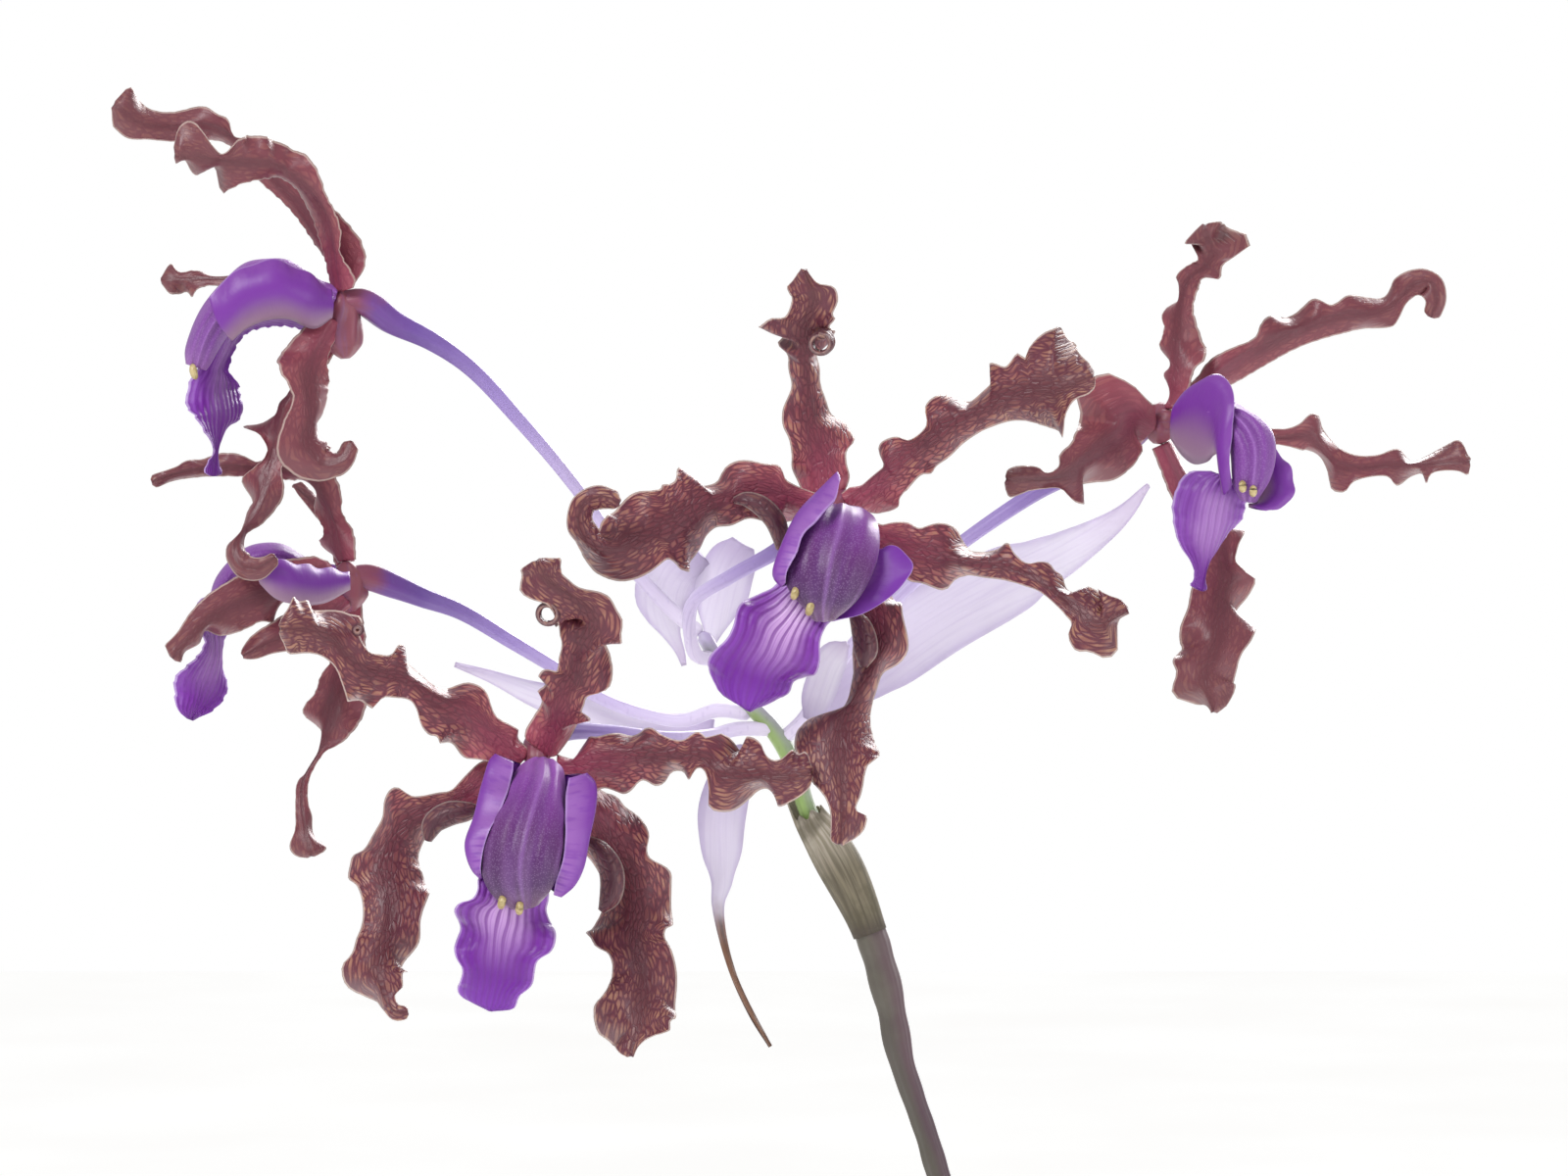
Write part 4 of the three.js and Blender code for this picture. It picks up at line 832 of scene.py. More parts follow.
mid 3,3,1.5 10,9,4 20,14.5,7 30,18,9.5 36,18.6,10.5 39.5,20.5,10 42,23,9 45,23.5,8 46,20.5,7.5 45,17.5,7.5
left 6,7 8.5,10.5 11,12 15,14 16.5,16.5 18.5,17.5 21.5,17 24,18.5 25.5,20.5 28,19.5 31,21 34.5,20.5
37,20.5 39,24 42,25.5 44.5,25.5 46.8,24 47.5,20.5 46,16.5
right 11.5,6 15.5,8.5 21.5,12 28.5,14.5 34,15.5 38.5,16 39.5,17.5 41,20.3 43,21.5 44.2,20.3 43.8,18.2
left_petal
turn 20,0
mid -2,-1,-1.5 -6,0,-4.5 -10,-3,-7 -14,-7,-10 -18.5,-9.5,-12.5 -22.5,-10,-14.5 -27,-10,-17
right -1,2 -3.5,3.5 -5.5,5.5 -6,7 -7,6.5 -8.5,8 -11.5,6.5 -13,4 -10,1.5 -11.5,0 -14.5,-1.5 -16,-4 -18,-6
-18.5,-8 -20.5,-9 -22,-8 -25,-8 -27,-8.5 -28,-5.5
left -1.5,-4.5 -4,-5 -5,-7.5 -7,-9 -10,-9 -12.5,-10.5 -12.5,-13.5 -14,-14 -16,-13.5 -18.5,-11.5 -21,-11.5
-24,-12 -26,-13 -27,-10.5
right_sepal
mid 3,-2.5,3 11,-3,7.5 19,-3,11 24.5,-3,12.5 28.5,-7,13.5 33,-8,13.5 39,-7.5,13 44.5,-7.5,12 51.5,-7,10
left 18.5,-1.5 20.5,-1.5 23,-.5 24.5,1 26.5,.5 27,-2 29,-4.5 32,-6 36,-6 39.5,-5 41,-7 44,-6 46.5,-4.5
49.5,-3.5 50.5,-4.5 51,-6 52.5,-7.5
right 19,-4 21.5,-4.5 25,-5.5 27,-7 28,-9 28,-11.5 30.5,-12 31.5,-10.5 34.5,-9.5 38,-9.5 39,-11 41,-9.5
43,-9 44,-11 45,-9 49.5,-8.5 51.5,-9.5
left_sepal
turn 30,0
mid -.5,-4,1.5 3,-11,2.5 8,-18,1.5 10,-24,-.5 9.5,-31,-4 8.5,-38,-8 6.5,-44,-11 8,-49.5,-13
right 4.5,-29 4,-31.5 3,-34.5 4,-37 1.5,-40.5 2,-43 1,-45.5 4,-46 6,-47 8,-50
left 12,-17 13.5,-18 12,-21.5 11.5,-24.5 13.5,-26 15.5,-26 15,-28 13,-30.5 15.5,-33.5 14.5,-37 12.5,-40
11.5,-44.5 10,-48
lip
turn 25,25
mid 10,-9.5,-16 8.8,-13,-15.5 8,-18,-14 7.2,-23,-12 6,-29,-10
right 6,-9.5 3.5,-11.5 2.5,-14 1.5,-17 2,-20.5 4,-24 4.5,-26.5 4,-28.5 6.5,-29.5
left 14,-12.5 13.5,-15.5 13,-18 11.5,-20.5 10,-22.5 8,-24.5 7,-27 7,-29.5
lobes
first 1,-3,-3 3,-6,-6 5,-7.4,-9 7,-7,-12 8.2,-5.8,-14 8.9,-5.5,-16 9.2,-8,-17 9.8,-12,-17 ; 1,1,-6
4,3.5,-10 6.5,3.8,-13 8.5,2,-16 9,-1,-18 9.2,-5,-19 9.6,-9,-19 10.2,-12.5,-18 ; 2,3.2,-6 5.5,6.5,-10
8.5,7.5,-13 11,6,-16 11.6,3,-18.5 11.2,-2,-20 10.8,-7,-20 11.2,-11,-19
second 15.5,-5,-12 16.5,-9,-13 16.5,-12,-14 15.5,-13.8,-15 14,-14.5,-16 ; 17,-4.6,-13 19,-8.6,-14.5
19.4,-12.2,-15.5 18,-14,-16.5 15.5,-15,-17 ; 17.5,-4,-13 21,-8,-14 21.7,-12,-15 20.5,-14.2,-16
17,-15.4,-17
column
mid 5,.5,-6 9,1,-11 13,-.8,-14.5 15,-4.5,-16.5 15,-9,-17 14.2,-13.4,-15.5
left 4,3 9,4.2 12,3 15.5,.8 18,-1.5 18.7,-5 18,-9.5 16.5,-12 15.2,-14
right 5,-2 9,-2.5 10.5,-4 11,-7 11.2,-10 12,-12.5 13,-13.8
front 2 3 4.2 4.4 4 1.8
tip 1.4
teeth
first 12.9,-10.2,-20.4 13,-11.3,-20.6 13,-12.2,-20
second 14.8,-11,-20.4 14.8,-12,-20.4 14.7,-12.9,-19.6
flower_4
face centre -76,48.5,40 turn -85,-2
dorsal_sepal
turn 50,0
mid 0,2,1 -2,9,1.5 -6,15.5,2.5 -10.5,21,3.5 -15,26,4 -21,30,4.5 -28,30,4 -33,30.5,3 -38,33.5,2
right 3,6 1.5,12 -3,18 -8,23 -13,27.5 -17.5,28.5 -18.5,31 -20.5,32 -22.5,33 -24.5,32.5 -27,32 -29.5,32
-32.5,33 -34,35 -35,36.5 -36.5,36.5 -38,37
left -1.5,5 -3.5,9 -6.5,14 -10,18 -13.5,21 -20,27 -28,27.5 -32.5,28 -35.5,28 -38,30
left_petal
turn 50,20
mid .5,2,-2 -.5,9,-5 -1.5,14,-7 -5,19.5,-9.5 -10,23.5,-11.5 -16,24,-13 -22,24.5,-14.5 -27.5,25,-16
right 2.5,3.5 2,5.5 .5,9 .5,11.5 0,14 -1,16.5 -2,18.5 -3,21 -4.5,23 -6.5,24 -8,24 -9,25 -10.5,25.5
-11.5,27 -14,27 -16,27.5 -17.5,27 -19.5,25.5 -21,26.5 -22.5,28.5 -24,30 -25.5,29.5 -27.5,27.5 -28,25
left -2.5,9.5 -4,13 -6,16.5 -7.5,18.5 -10.5,20.5 -14,21 -17,20.5 -18.5,19 -19,17.5 -20.5,18.5 -20,19
-19.5,20.5 -20.5,21 -22.5,20.5 -24,21 -25,23 -26,23.5 -27.5,23 -28.5,21
right_petal
turn -50,-20
mid -.5,1.5,3 -8,2.5,8 -16,4,11.5 -23.5,4,13.5 -30,4,15
right -18,5 -21,5 -23.5,5.5 -27,5 -28.5,7 -30.5,4.5
left -30,3.5 -28.5,2 -26,3 -25,1.5 -23.5,2.5 -21,3
left_sepal
turn 45,15
mid -.5,-3,-3 -3.5,-8,-6 -5,-13,-9 -4.5,-19,-11 -5,-24,-13 -2.5,-27.5,-14 1,-26.5,-14 2.5,-23.5,-13.5
left -.5,-6.5 -2,-10.5 -1,-13.5 -1,-17.5 -2,-20 -1.5,-23.5 -.5,-24.8 1.3,-22.8
right -6.5,-8 -8.5,-9.5 -9,-11.5 -8,-14.5 -7.5,-16.5 -9,-21 -9.5,-24.5 -7.5,-26.5 -5,-28.5 -2,-29 2,-28
3.6,-24.5
right_sepal
turn -45,0
mid .5,-3,2.5 -4,-10,3.5 -9,-17,3.5 -10.5,-23,3 -12,-29,2 -13,-34,.5 -16,-38.5,-1 -17.5,-42,-3
-16.5,-44.5,-4 -13.5,-45,-5 -10.5,-43.2,-6
right -9,-15.5 -11,-16.5 -12,-18.5 -13.5,-19 -15.5,-20 -16.5,-20.5 -16,-21.5 -13.5,-22 -12,-23.5
-11.5,-25.5 -13.5,-28 -16.5,-30 -15,-32.5 -15.5,-35.5 -16.5,-38.5 -18.5,-40.5 -19,-43 -17,-46.5 -13,-47
-10,-44.5
left -9.5,-24.5 -8.5,-26.5 -9.5,-28 -9.5,-31.5 -11,-34 -12.5,-36.5 -13.5,-37.5 -15.5,-38.5 -15.5,-41.5
-14.8,-43.2 -12.5,-43.3 -10.5,-42
lip
turn 55,55
mid -3,-3,-1 -9,-2,0 -16,-4,0 -19,-9,0 -20.5,-14,0 -20,-19,0 -20.5,-24,0 -21,-29.5,0
right -22,-11.5 -23,-14 -23.5,-16.5 -24,-19 -23,-22 -21.5,-25 -22,-27 -22.5,-29.5
left -20,-10.5 -19,-12 -17,-14 -16.5,-16.5 -16,-20 -17,-21.5 -19,-24.5 -19.5,-27 -19.5,-29.5
lobes
first -1,-2.4,-5 -4,-4.2,-6.5 -8,-2.6,-8.5 -10.5,-2.5,-9 -13,-3,-9.5 -16,-4.5,-10 -18,-6.3,-10 ; -.8,0,-6
-5,1,-10.5 -9.5,2.4,-12.6 -13,2,-13 -16.5,.4,-13 -19,-2,-12.6 -20.2,-3.4,-12 ; -1,2.2,-5 -5.5,5.2,-8
-9.5,7,-9.5 -13,7,-10.5 -17,5.3,-11 -20,3,-11.5 -21.6,.7,-11.5
second -4,-4,4 -8,-2.6,5 -13,-2.6,5.5 -17,-5,6 -20,-9,5 ; -4,0,7 -8,1.4,9 -13,1.6,10 -17.5,-1.6,10
-21,-7,8 ; -3,3,6 -7,5,8 -12,5.2,9 -17,3,9 -21,-2,8.5 -23,-7,7 -23,-10,5
column
mid -1,1,0 -4.5,2.2,-1 -9,3.6,-2 -14,2.8,-2.5 -18.5,-.6,-3 -22,-5.2,-3 -24,-11,-3
right -1,3.2 -3,4 -6,6 -8.5,7.5 -11.5,7.5 -15.5,7 -18,5 -21,2 -23.5,-1.5 -25,-5 -26,-8.5 -25.7,-10.5
-25,-12
left -2,-2 -6,0 -9,1 -13,.2 -16.5,-3 -19.5,-7 -21.5,-10.5 -22.5,-12
front 3 4.4 5.4 6 5.8 4.6 2.2
tip 1.6
teeth
first -24.6,-10.4,-5 -24.4,-11.8,-5.4 -24,-13,-5
second -24.6,-10.4,-1.4 -24.4,-11.8,-1 -24,-13,-1.4
flower_5
face centre -75,1.5,57 turn -75,-4
dorsal_sepal
turn 50,0
mid 0,3,.5 -1,8,1 -3,13.5,1 -7,18.5,0 -14,19,-1 -22,19,-2 -28,18,-3 -32.5,16.5,-4
left -4,4.5 -4.5,6.5 -3,7 -3,9 -5.5,12 -5.5,14.5 -7,16 -10,17 -14,17.3 -18.5,17.5 -28.5,16.8 -32,15.5
right 1.5,2 1.5,5 .5,8 -1.5,11 -1.5,14 -2.5,17 -5,20.5 -10,21.5 -14.5,20 -17.5,21 -20.5,21 -23.5,20
-26.5,20 -28.5,19 -33,17.5
left_petal
turn 40,0
mid -1.4,1,-4.4 -8,-.8,-10.5 -14,-2.6,-14 -20,-5,-16 -25,-9,-17.5 -29,-13.5,-18
right -4,3.5 -8,2.5 -12,2.2 -16,1 -20,-1 -23,-3 -26,-6 -28,-9 -30.5,-11.5
left -3,-3 -8,-5 -11,-7.5 -14,-7 -17,-9 -20,-9.5 -22,-8.5 -24.5,-11 -27,-12.5 -28,-15.5 -29.5,-15.5
right_petal
turn -40,0
mid .6,3,4 -1,8,8 -4.5,12.5,12 -8.5,16,16
left -1,4 -2.3,8 -5.6,12 -8,15 -9,17
right 1.8,4 .3,8.4 -3.2,13 -6,15.6 -7.8,17.2
left_sepal
turn 40,0
mid .6,-3.6,-3 -4,-7.5,-8 -9.5,-9.5,-13 -14,-11.5,-15 -17,-13,-16
right -2,-3 -6,-5 -10,-7 -14,-9 -17.5,-12.5
left -1,-8 -5,-11 -9,-12 -12,-12.5 -15,-13.5 -17.5,-13.5
right_sepal
turn -40,0
mid 1,-4.2,2.8 .5,-10,4 -.5,-17,4 -2,-23,3 -4,-29,2 -6.7,-34,1 -7,-38,0 -6,-44,-2 -5.5,-47,-3
right -2,-9 -2,-14.5 -4,-16.5 -4.5,-19.5 -7.5,-22.5 -5.5,-24 -4.5,-27 -5,-31.5 -7.6,-34 -8,-38 -8,-42.5
-9,-45.5 -5.5,-48
left 3.5,-9 3.5,-14 3.5,-18 2.5,-21.5 2,-24.5 -.5,-28 -3,-29.5 -5.8,-34 -6,-38 -5.5,-40 -5.5,-42.5
-3,-45.5 -5.5,-48
lip
turn 50,50
mid -20,-3,-8 -22,-8,-9 -22,-13,-9 -23.6,-18,-9 -25.8,-24,-9
right -23,-4.5 -25,-7.5 -24,-11 -27,-16 -26.5,-19.5 -27.5,-22 -26.5,-24
left -18.5,-6 -19,-9.5 -19,-13 -19,-16 -19.5,-18.5 -21.5,-21 -24,-22.8
lobes
first 1,-1.6,-6 -3.5,-4,-11.5 -8,-4.2,-17 -11.5,-3.2,-19 -14,-.6,-20 ; 1,0,-7.5 -4.5,-.4,-14 -9,.4,-19
-12.5,1.2,-20.6 -15,1.6,-21 ; 1,1.2,-6 -4.5,2,-12 -9,2.8,-17.5 -12.5,3.2,-19.5 -15.6,2.8,-20
second -4,-4,3 -8,-3,4 -13,-3.2,4.5 -17,-5,5 -20,-8,4 ; -4,0,6 -8,1,8 -13,1.2,9 -17.5,-1.6,9 -20.5,-6,7 ;
-3,2.4,5 -7,3.6,7 -12,4,8 -17,2.4,8 -20.5,-1.6,7.5 -21.5,-6,6
column
mid -2,.4,0 -6,1.4,-1 -11,2.6,-1.5 -15,1.8,-2 -18.5,-1,-2 -20.5,-4.5,-2 -21,-7.5,-2
right -2,2.5 -5,3.2 -7.5,4.4 -10,6 -13.5,6.2 -16.5,5.5 -19.5,3 -21.8,0 -22.6,-3 -22.4,-7.5
left -3,-2.2 -7,-1 -11,0 -14,-1.2 -16.5,-3 -18.6,-6 -19.4,-7.5
front 3 4.2 5.2 5.6 5.2 4.2 2
tip 1.4
teeth
first -21,-6.8,-4 -20.8,-8,-4.4 -20.4,-9,-4
second -21,-6.8,-.6 -20.8,-8,-.2 -20.4,-9,-.6
"""


def read_flowers(text):
    """Flowers by name, each with its parts by name, each with its lists of points as text."""
    flowers = {}
    for word in text.split():
        if word.startswith("flower_"):
            flower = flowers[word] = {}
        elif word in PARTS:
            shape = flower[word] = {}
        elif word[0].isalpha():
            key = word
            shape[key] = ""
        else:
            shape[key] += " " + word
    return flowers


def several(shape, key):
    """The lists of points under one key, none where the shape hasn't got it."""
    return [marks(rows) for rows in shape[key].split(";")] if key in shape else []


def centre_of(flower):
    return marks(flower["face"]["centre"])[0]


FLOWERS = read_flowers(FLOWER_LINES)


def colour_setting(label, about, code):
    return bpy.props.FloatVectorProperty(name=label, description=about, subtype="COLOR", size=4,
                                         default=tone(code), min=0, max=1)


def length_setting(label, about, default, low, high):
    return bpy.props.FloatProperty(name=label, description=about, default=default, min=low, max=high,
                                   subtype="DISTANCE", unit="LENGTH", precision=5)


class OrchidTones(bpy.types.PropertyGroup):
    """Colours of the plant and its pot."""
    foot: colour_setting("Petal foot", "Crimson foot of each petal and sepal", 0x963C54)
    band: colour_setting("Petal band", "Dark band along the middle of each petal", 0x562330)
    margin: colour_setting("Petal margin", "Wavy margin of each petal", 0x7C3A45)
    cell: colour_setting("Petal cells", "Golden cells between the veins", 0xA27660)
    vein: colour_setting("Petal veins", "Net of veins on the margins", 0x5E2C3A)
    # Petal rim is the colour of a painted highlight along the very edge of each petal
    rim: colour_setting("Petal rim", "Pale line on the very edge", 0xCDB8AE)
    lip: colour_setting("Lip", "Violet of the lip", 0x711D94)
    lip_pale: colour_setting("Lip centre", "Pale streaks in the middle of the lip", 0xD8B2E2)
    lip_vein: colour_setting("Lip veins", "Dark veins of the lip", 0x66207E)
    lobe: colour_setting("Lip lobes", "Lavender side lobes", 0x74359A)
    column: colour_setting("Column", "Waxy column", 0x7A3C92)
    column_end: colour_setting("Column end", "Darker end of the column", 0x442650)
    bract: colour_setting("Bract", "Papery bracts", 0xD4CEDC)
    sheath: colour_setting("Sheath", "Dry sheaths on the stem", 0xBDB4A6)
    bulb: colour_setting("Bulb", "Green bulbs", 0x83984A)
    leaf: colour_setting("Leaf", "Leathery leaves", 0x3B6630)
    clay: colour_setting("Clay", "Fired clay of the pot", 0xB8683F)
    bark: colour_setting("Bark", "Bark chips in the pot", 0x6B4630)
    floor: colour_setting("Floor", "Pale studio floor", 0xF6F5F3)


class OrchidSizes(bpy.types.PropertyGroup):
    """Sizes that a grower or a maker would change, in metres."""
    petal_thickness: length_setting("Petal thickness", "Thickness along the middle of a petal",
                                    0.0011, 0.0003, 0.003)
    rim_thickness: length_setting("Rim thickness", "Thickness at the edge of a petal",
                                  0.0004, 0.0001, 0.002)
    petal_step: length_setting("Petal step", "Distance between the rings of a petal's mesh",
                               0.00045, 0.0002, 0.003)
    chip_size: length_setting("Chip size", "Length of a bark chip", 0.013, 0.003, 0.03)
    chip_density: bpy.props.FloatProperty(
        name="Chip density", description="Bark chips on each square metre of the surface",
        default=26000.0, min=100.0, max=60000.0)


FULL_PATTERN_FLOWERS = 2


def softness(number):
    """0 for the flowers in front and 1 for the ones behind them, whose pattern is fainter."""
    return float(number >= FULL_PATTERN_FLOWERS)


def step_mm():
    step = bpy.context.scene.orchid_sizes.petal_step / MM
    return step


TEPAL_FORM = {"crown": 0.34, "forward_share": 0.6, "foot": 1.6, "crinkle": 0.25}
LIP_FORM = {"thick": 0.9, "rim": 0.35, "crown": 0.12, "forward_share": 0.5, "foot": 2.2, "crinkle": 0.3}
BLADE_TIP = 0.4
BLADE_LIMIT = 13


def sheet_blade(name, flower, shape, kind, seed, thick, rim, soft, crown, forward_share, foot, crinkle):
    """A wavy blade whose outline on the sheet follows its traced edges."""
    step = step_mm()
    line, at = even_line(marks(shape["mid"]), step)
    share = at / at[-1]
    turn = np.radians(np.interp(share, (0, 1), marks(shape.get("turn", "0,0"))[0]))
    side = np.concatenate([left_of(line), np.tan(turn)[:, None]], 1)
    left, right = blade_widths(shape, line, foot, BLADE_TIP, BLADE_LIMIT, 0.25 / step)
    bend = np.gradient(np.unwrap(np.arctan2(-side[:, 0], side[:, 1])), at)
    room = 0.9 / np.maximum(np.abs(softened(bend, 1.5 / step)), 1e-3)
    left = np.where(bend > 0, np.minimum(left, np.maximum(room, 0.8)), left)
    right = np.where(bend < 0, np.minimum(right, np.maximum(room, 0.8)), right)
    full_left, fold_left = ruffles(left, step, forward_share, seed)
    full_right, fold_right = ruffles(right, step, forward_share, seed + 1)
    ends = np.clip(np.minimum(share, 1 - share) * 12, 0, 1)
    wave = np.sin(at * 2.9 + seed) * 0.5 + np.sin(at * 5.3 + 2 * seed) * 0.3

    def lift(x):
        strong = np.abs(x) ** 2.4
        fold = np.where(x[None, :] > 0, fold_left[:, None], fold_right[:, None])
        full = np.where(x[None, :] > 0, full_left[:, None], full_right[:, None])
        curve = -crown * full * (x ** 2)[None, :]
        small = crinkle * wave[:, None] * (np.abs(x) ** 5)[None, :] * np.sign(x)[None, :]
        groove = -0.22 * np.exp(-(x / 0.12) ** 2)[None, :]
        return (-fold * strong[None, :] + small) * ends[:, None] * -1 + curve + groove

    def half_thick(x):
        body = rim + (thick - rim) * (1 - np.abs(x) ** 1.8)
        narrow = np.clip(np.minimum(left, right) / 2.0, 0.35, 1.0)
        return body[None, :] * 0.5 * narrow[:, None]

    rings, flow, fields = ribbon(line, at, side, left, right, lift, half_thick,
                                 lambda p: seen(p + centre_of(flower)))
    fields["soft"] = np.full_like(fields["along"], soft)
    return loft(name, rings, kind, flow, 0.0, fields)


def rail_blade(name, rails, place, dull, inward, thick=0.7, edge=0.35, flare=0.3):
    """A side lobe of the lip, a curved blade over three rails from its foot to its rim.

    inward is 1 where the rim leans to the column and -1 where the foot lies beside it.
    """
    count = 60
    across_count = 25
    spaced = []
    for rail in rails:
        line, _ = even_line(rail, 0.12)
        spaced.append(line[np.round(np.linspace(0, 1, count) * (len(line) - 1)).astype(int)])
    foot, middle, rim = spaced
    steps = np.linspace(0, 1, count)
    t = np.sin(np.linspace(0, 0.5, across_count) * math.pi)
    shares = ((1 - t) * (1 - 2 * t), 4 * t * (1 - t), t * (2 * t - 1))
    body = sum(line[:, None, :] * share[None, :, None]
               for line, share in zip((foot, middle, rim), shares))
    normal = unit(np.cross(np.gradient(body, axis=1), np.gradient(body, axis=0)))
    wave = flare * np.sin(steps * 23)[:, None] * (t ** 4)[None, :]
    body = body + normal * wave[..., None]
    half = (edge + (thick - edge) * (1 - t ** 2))[None, :, None] * 0.5
    front = body + normal * half
    back = body - normal * half
    rings = np.concatenate([front, back[:, ::-1]], 1)
    across = np.concatenate([t, t[::-1]]) * 2 - 1
    size = np.linalg.norm(rim - middle, axis=1) + np.linalg.norm(middle - foot, axis=1)
    along = by_row(steps, len(across))
    flow = np.stack([along * 2.4, (across[None, :] + 1) * size[:, None] / 20], -1)
    fields = {"along": along, "across": by_column(across, count),
              "inner": by_column(across * inward, count), "under": np.full_like(along, dull)}
    return loft(name, place(rings), "lobe", flow, 0.0, fields)


ROLL_THICK = 0.44


def curl(name, spot, flower, seed):
    """A margin rolled up into a small open ring, between two places on the sheet."""
    back, front = spot
    radius = 1.55 if abs(front[2] - back[2]) > 2 else 0.55
    count = 34
    angle = 0.9 + seed + np.linspace(0, 1.12, count) * FULL_TURN
    swirl = radius * (1.0 + 0.22 * np.linspace(0, 1, count))
    line = np.stack([np.cos(angle) * swirl, np.sin(angle) * swirl, np.zeros(count)], 1)
    line = line + (back + front) / 2
    side = by_column((0.12, 0.1, 1.0), count)
    half = np.full(count, abs(front[2] - back[2]) / 2)
    rings, flow, fields = ribbon(
        line, walked_along(line), side, half, half, lambda x: by_column(0.25 * np.sin(6 * x), count),
        lambda x: np.full((count, len(x)), ROLL_THICK / 2), lambda p: seen(p + centre_of(flower)), 13)
    fields["along"][:] = 0.9
    fields["across"] = fields["across"] * 0.98
    return loft(name, rings, "tepal", flow, 0.0, fields)


def fold_strip(name, rows, flower):
    """A strip of margin that folds over and shows the back of the petal, darkened both for the back's
    duller colour and as painted shade in the fold.
    """
    line, at = even_line(rows[:, :3], 0.4)
    half = np.maximum(rows_along(rows[:, 3], len(line)) * 1.2, 0.2)
    side = np.pad(left_of(line), ((0, 0), (0, 1)))
    rings, flow, fields = ribbon(
        line, at, side, half, half, lambda x: half[:, None] * 0.75 * (1 - x ** 2)[None, :],
        lambda x: np.full((len(line), len(x)), ROLL_THICK / 2), lambda p: seen(p + centre_of(flower)), 15)
    fields["along"] = 0.3 + 0.3 * fields["along"]
    # the whole strip takes the dark back colour, which paints the shade in the fold
    fields["under"][:] = 1.0
    return loft(name, rings, "tepal", flow, 0.0, fields)


def around(line, radii, section, up=None):
    """Rings of a stalk along a line. section gives the radius share and angle of each point."""
    tangent = unit(np.gradient(line, axis=0))
    guide = UPWARD if up is None else up
    across = unit(np.cross(tangent, guide))
    over = np.cross(across, tangent)
    angle, share = section
    ring = line[:, None, :] + across[:, None, :] * (np.cos(angle) * share * radii[:, None])[..., None]
    return ring + over[:, None, :] * (np.sin(angle) * share * radii[:, None])[..., None]


def stalk(name, points, radii, material, step=1.0, ribs=0, depth=0.0, sides=32, up=None,
          swell=None, fields=None):
    """A closed stalk with soft ribs, through points in millimetres."""
    line, at = even_line(points, step)
    count = len(line)
    thick = rows_along(radii, count)
    if swell is not None:
        thick = thick * swell(at / at[-1])
    ends = np.minimum(at, at[-1] - at)
    thick = thick * np.sqrt(np.clip(ends / np.maximum(thick, 0.2) * 1.2 + 0.12, 0, 1))
    angle = np.linspace(0, FULL_TURN, sides, endpoint=False)[None, :]
    share = 1 + depth * np.cos(angle * ribs + at[:, None] * 0.03) if ribs else np.ones((count, sides))
    angle = np.repeat(angle, count, 0)
    rings = around(line, thick, (angle, share), up)
    flow = np.stack([by_row(at, sides) / 10, angle / FULL_TURN], -1)
    values = {"along": by_row(at / at[-1], sides)}
    if ribs:
        values["ridge"] = (share - 1) / depth
    for key, value in (fields or {}).items():
        values[key] = np.full((count, sides), value)
    return loft(name, rings, material, flow, 1.0, values)


class ORCHID_OT_tepals(bpy.types.Operator):
    """Five wavy sepals and petals on each flower"""
    bl_idname = "orchid.tepals"
    bl_label = "Sepals and petals"

    def execute(self, context):
        sizes = context.scene.orchid_sizes
        seed = 0
        for number, (name, flower) in enumerate(FLOWERS.items()):
            for part in TEPALS:
                seed += 1
                shape = flower[part]
                piece = sheet_blade(f"{name}_{part}_petal_skin", flower, shape, "tepal", seed,
                                    sizes.petal_thickness / MM, sizes.rim_thickness / MM,
                                    softness(number), **TEPAL_FORM)
                rolls = [curl("curl", spot, flower, k) for k, spot in enumerate(several(shape, "curls"))]
                strips = [fold_strip("fold", rows, flower) for rows in several(shape, "folds")]
                if rolls or strips:
                    piece = joined(piece.name, [piece, *rolls, *strips])
                declare(piece, "tepal", f"{name}_{part}")
        return {"FINISHED"}


class ORCHID_OT_lips(bpy.types.Operator):
    """Lip of each flower, with its hanging middle lobe and two side lobes"""
    bl_idname = "orchid.lips"
    bl_label = "Lips"

    def execute(self, context):
        for number, (name, flower) in enumerate(FLOWERS.items()):
            centre = centre_of(flower)
            parts = [sheet_blade(f"{name}_lip_blade", flower, flower["lip"], "lip", number,
                                 soft=softness(number), **LIP_FORM)]
            for k, key in enumerate(flower["lobes"]):
                parts.append(rail_blade(f"{name}_lobe_{k}", several(flower["lobes"], key),
                                        lambda p: seen(p + centre), softness(number),
                                        -1.0 if (number, k) == (0, 0) else 1.0))
            piece = joined(f"{name}_lip_skin", parts)
            declare(piece, "lip", f"{name}_lip")
        return {"FINISHED"}


COLUMN_SIDES = 60
COLUMN_FOOT = 2.2
COLUMN_LIMIT = 14
COLUMN_SETTLE = 2
TOOTH_RADII = (0.5, 0.7, 0.5)


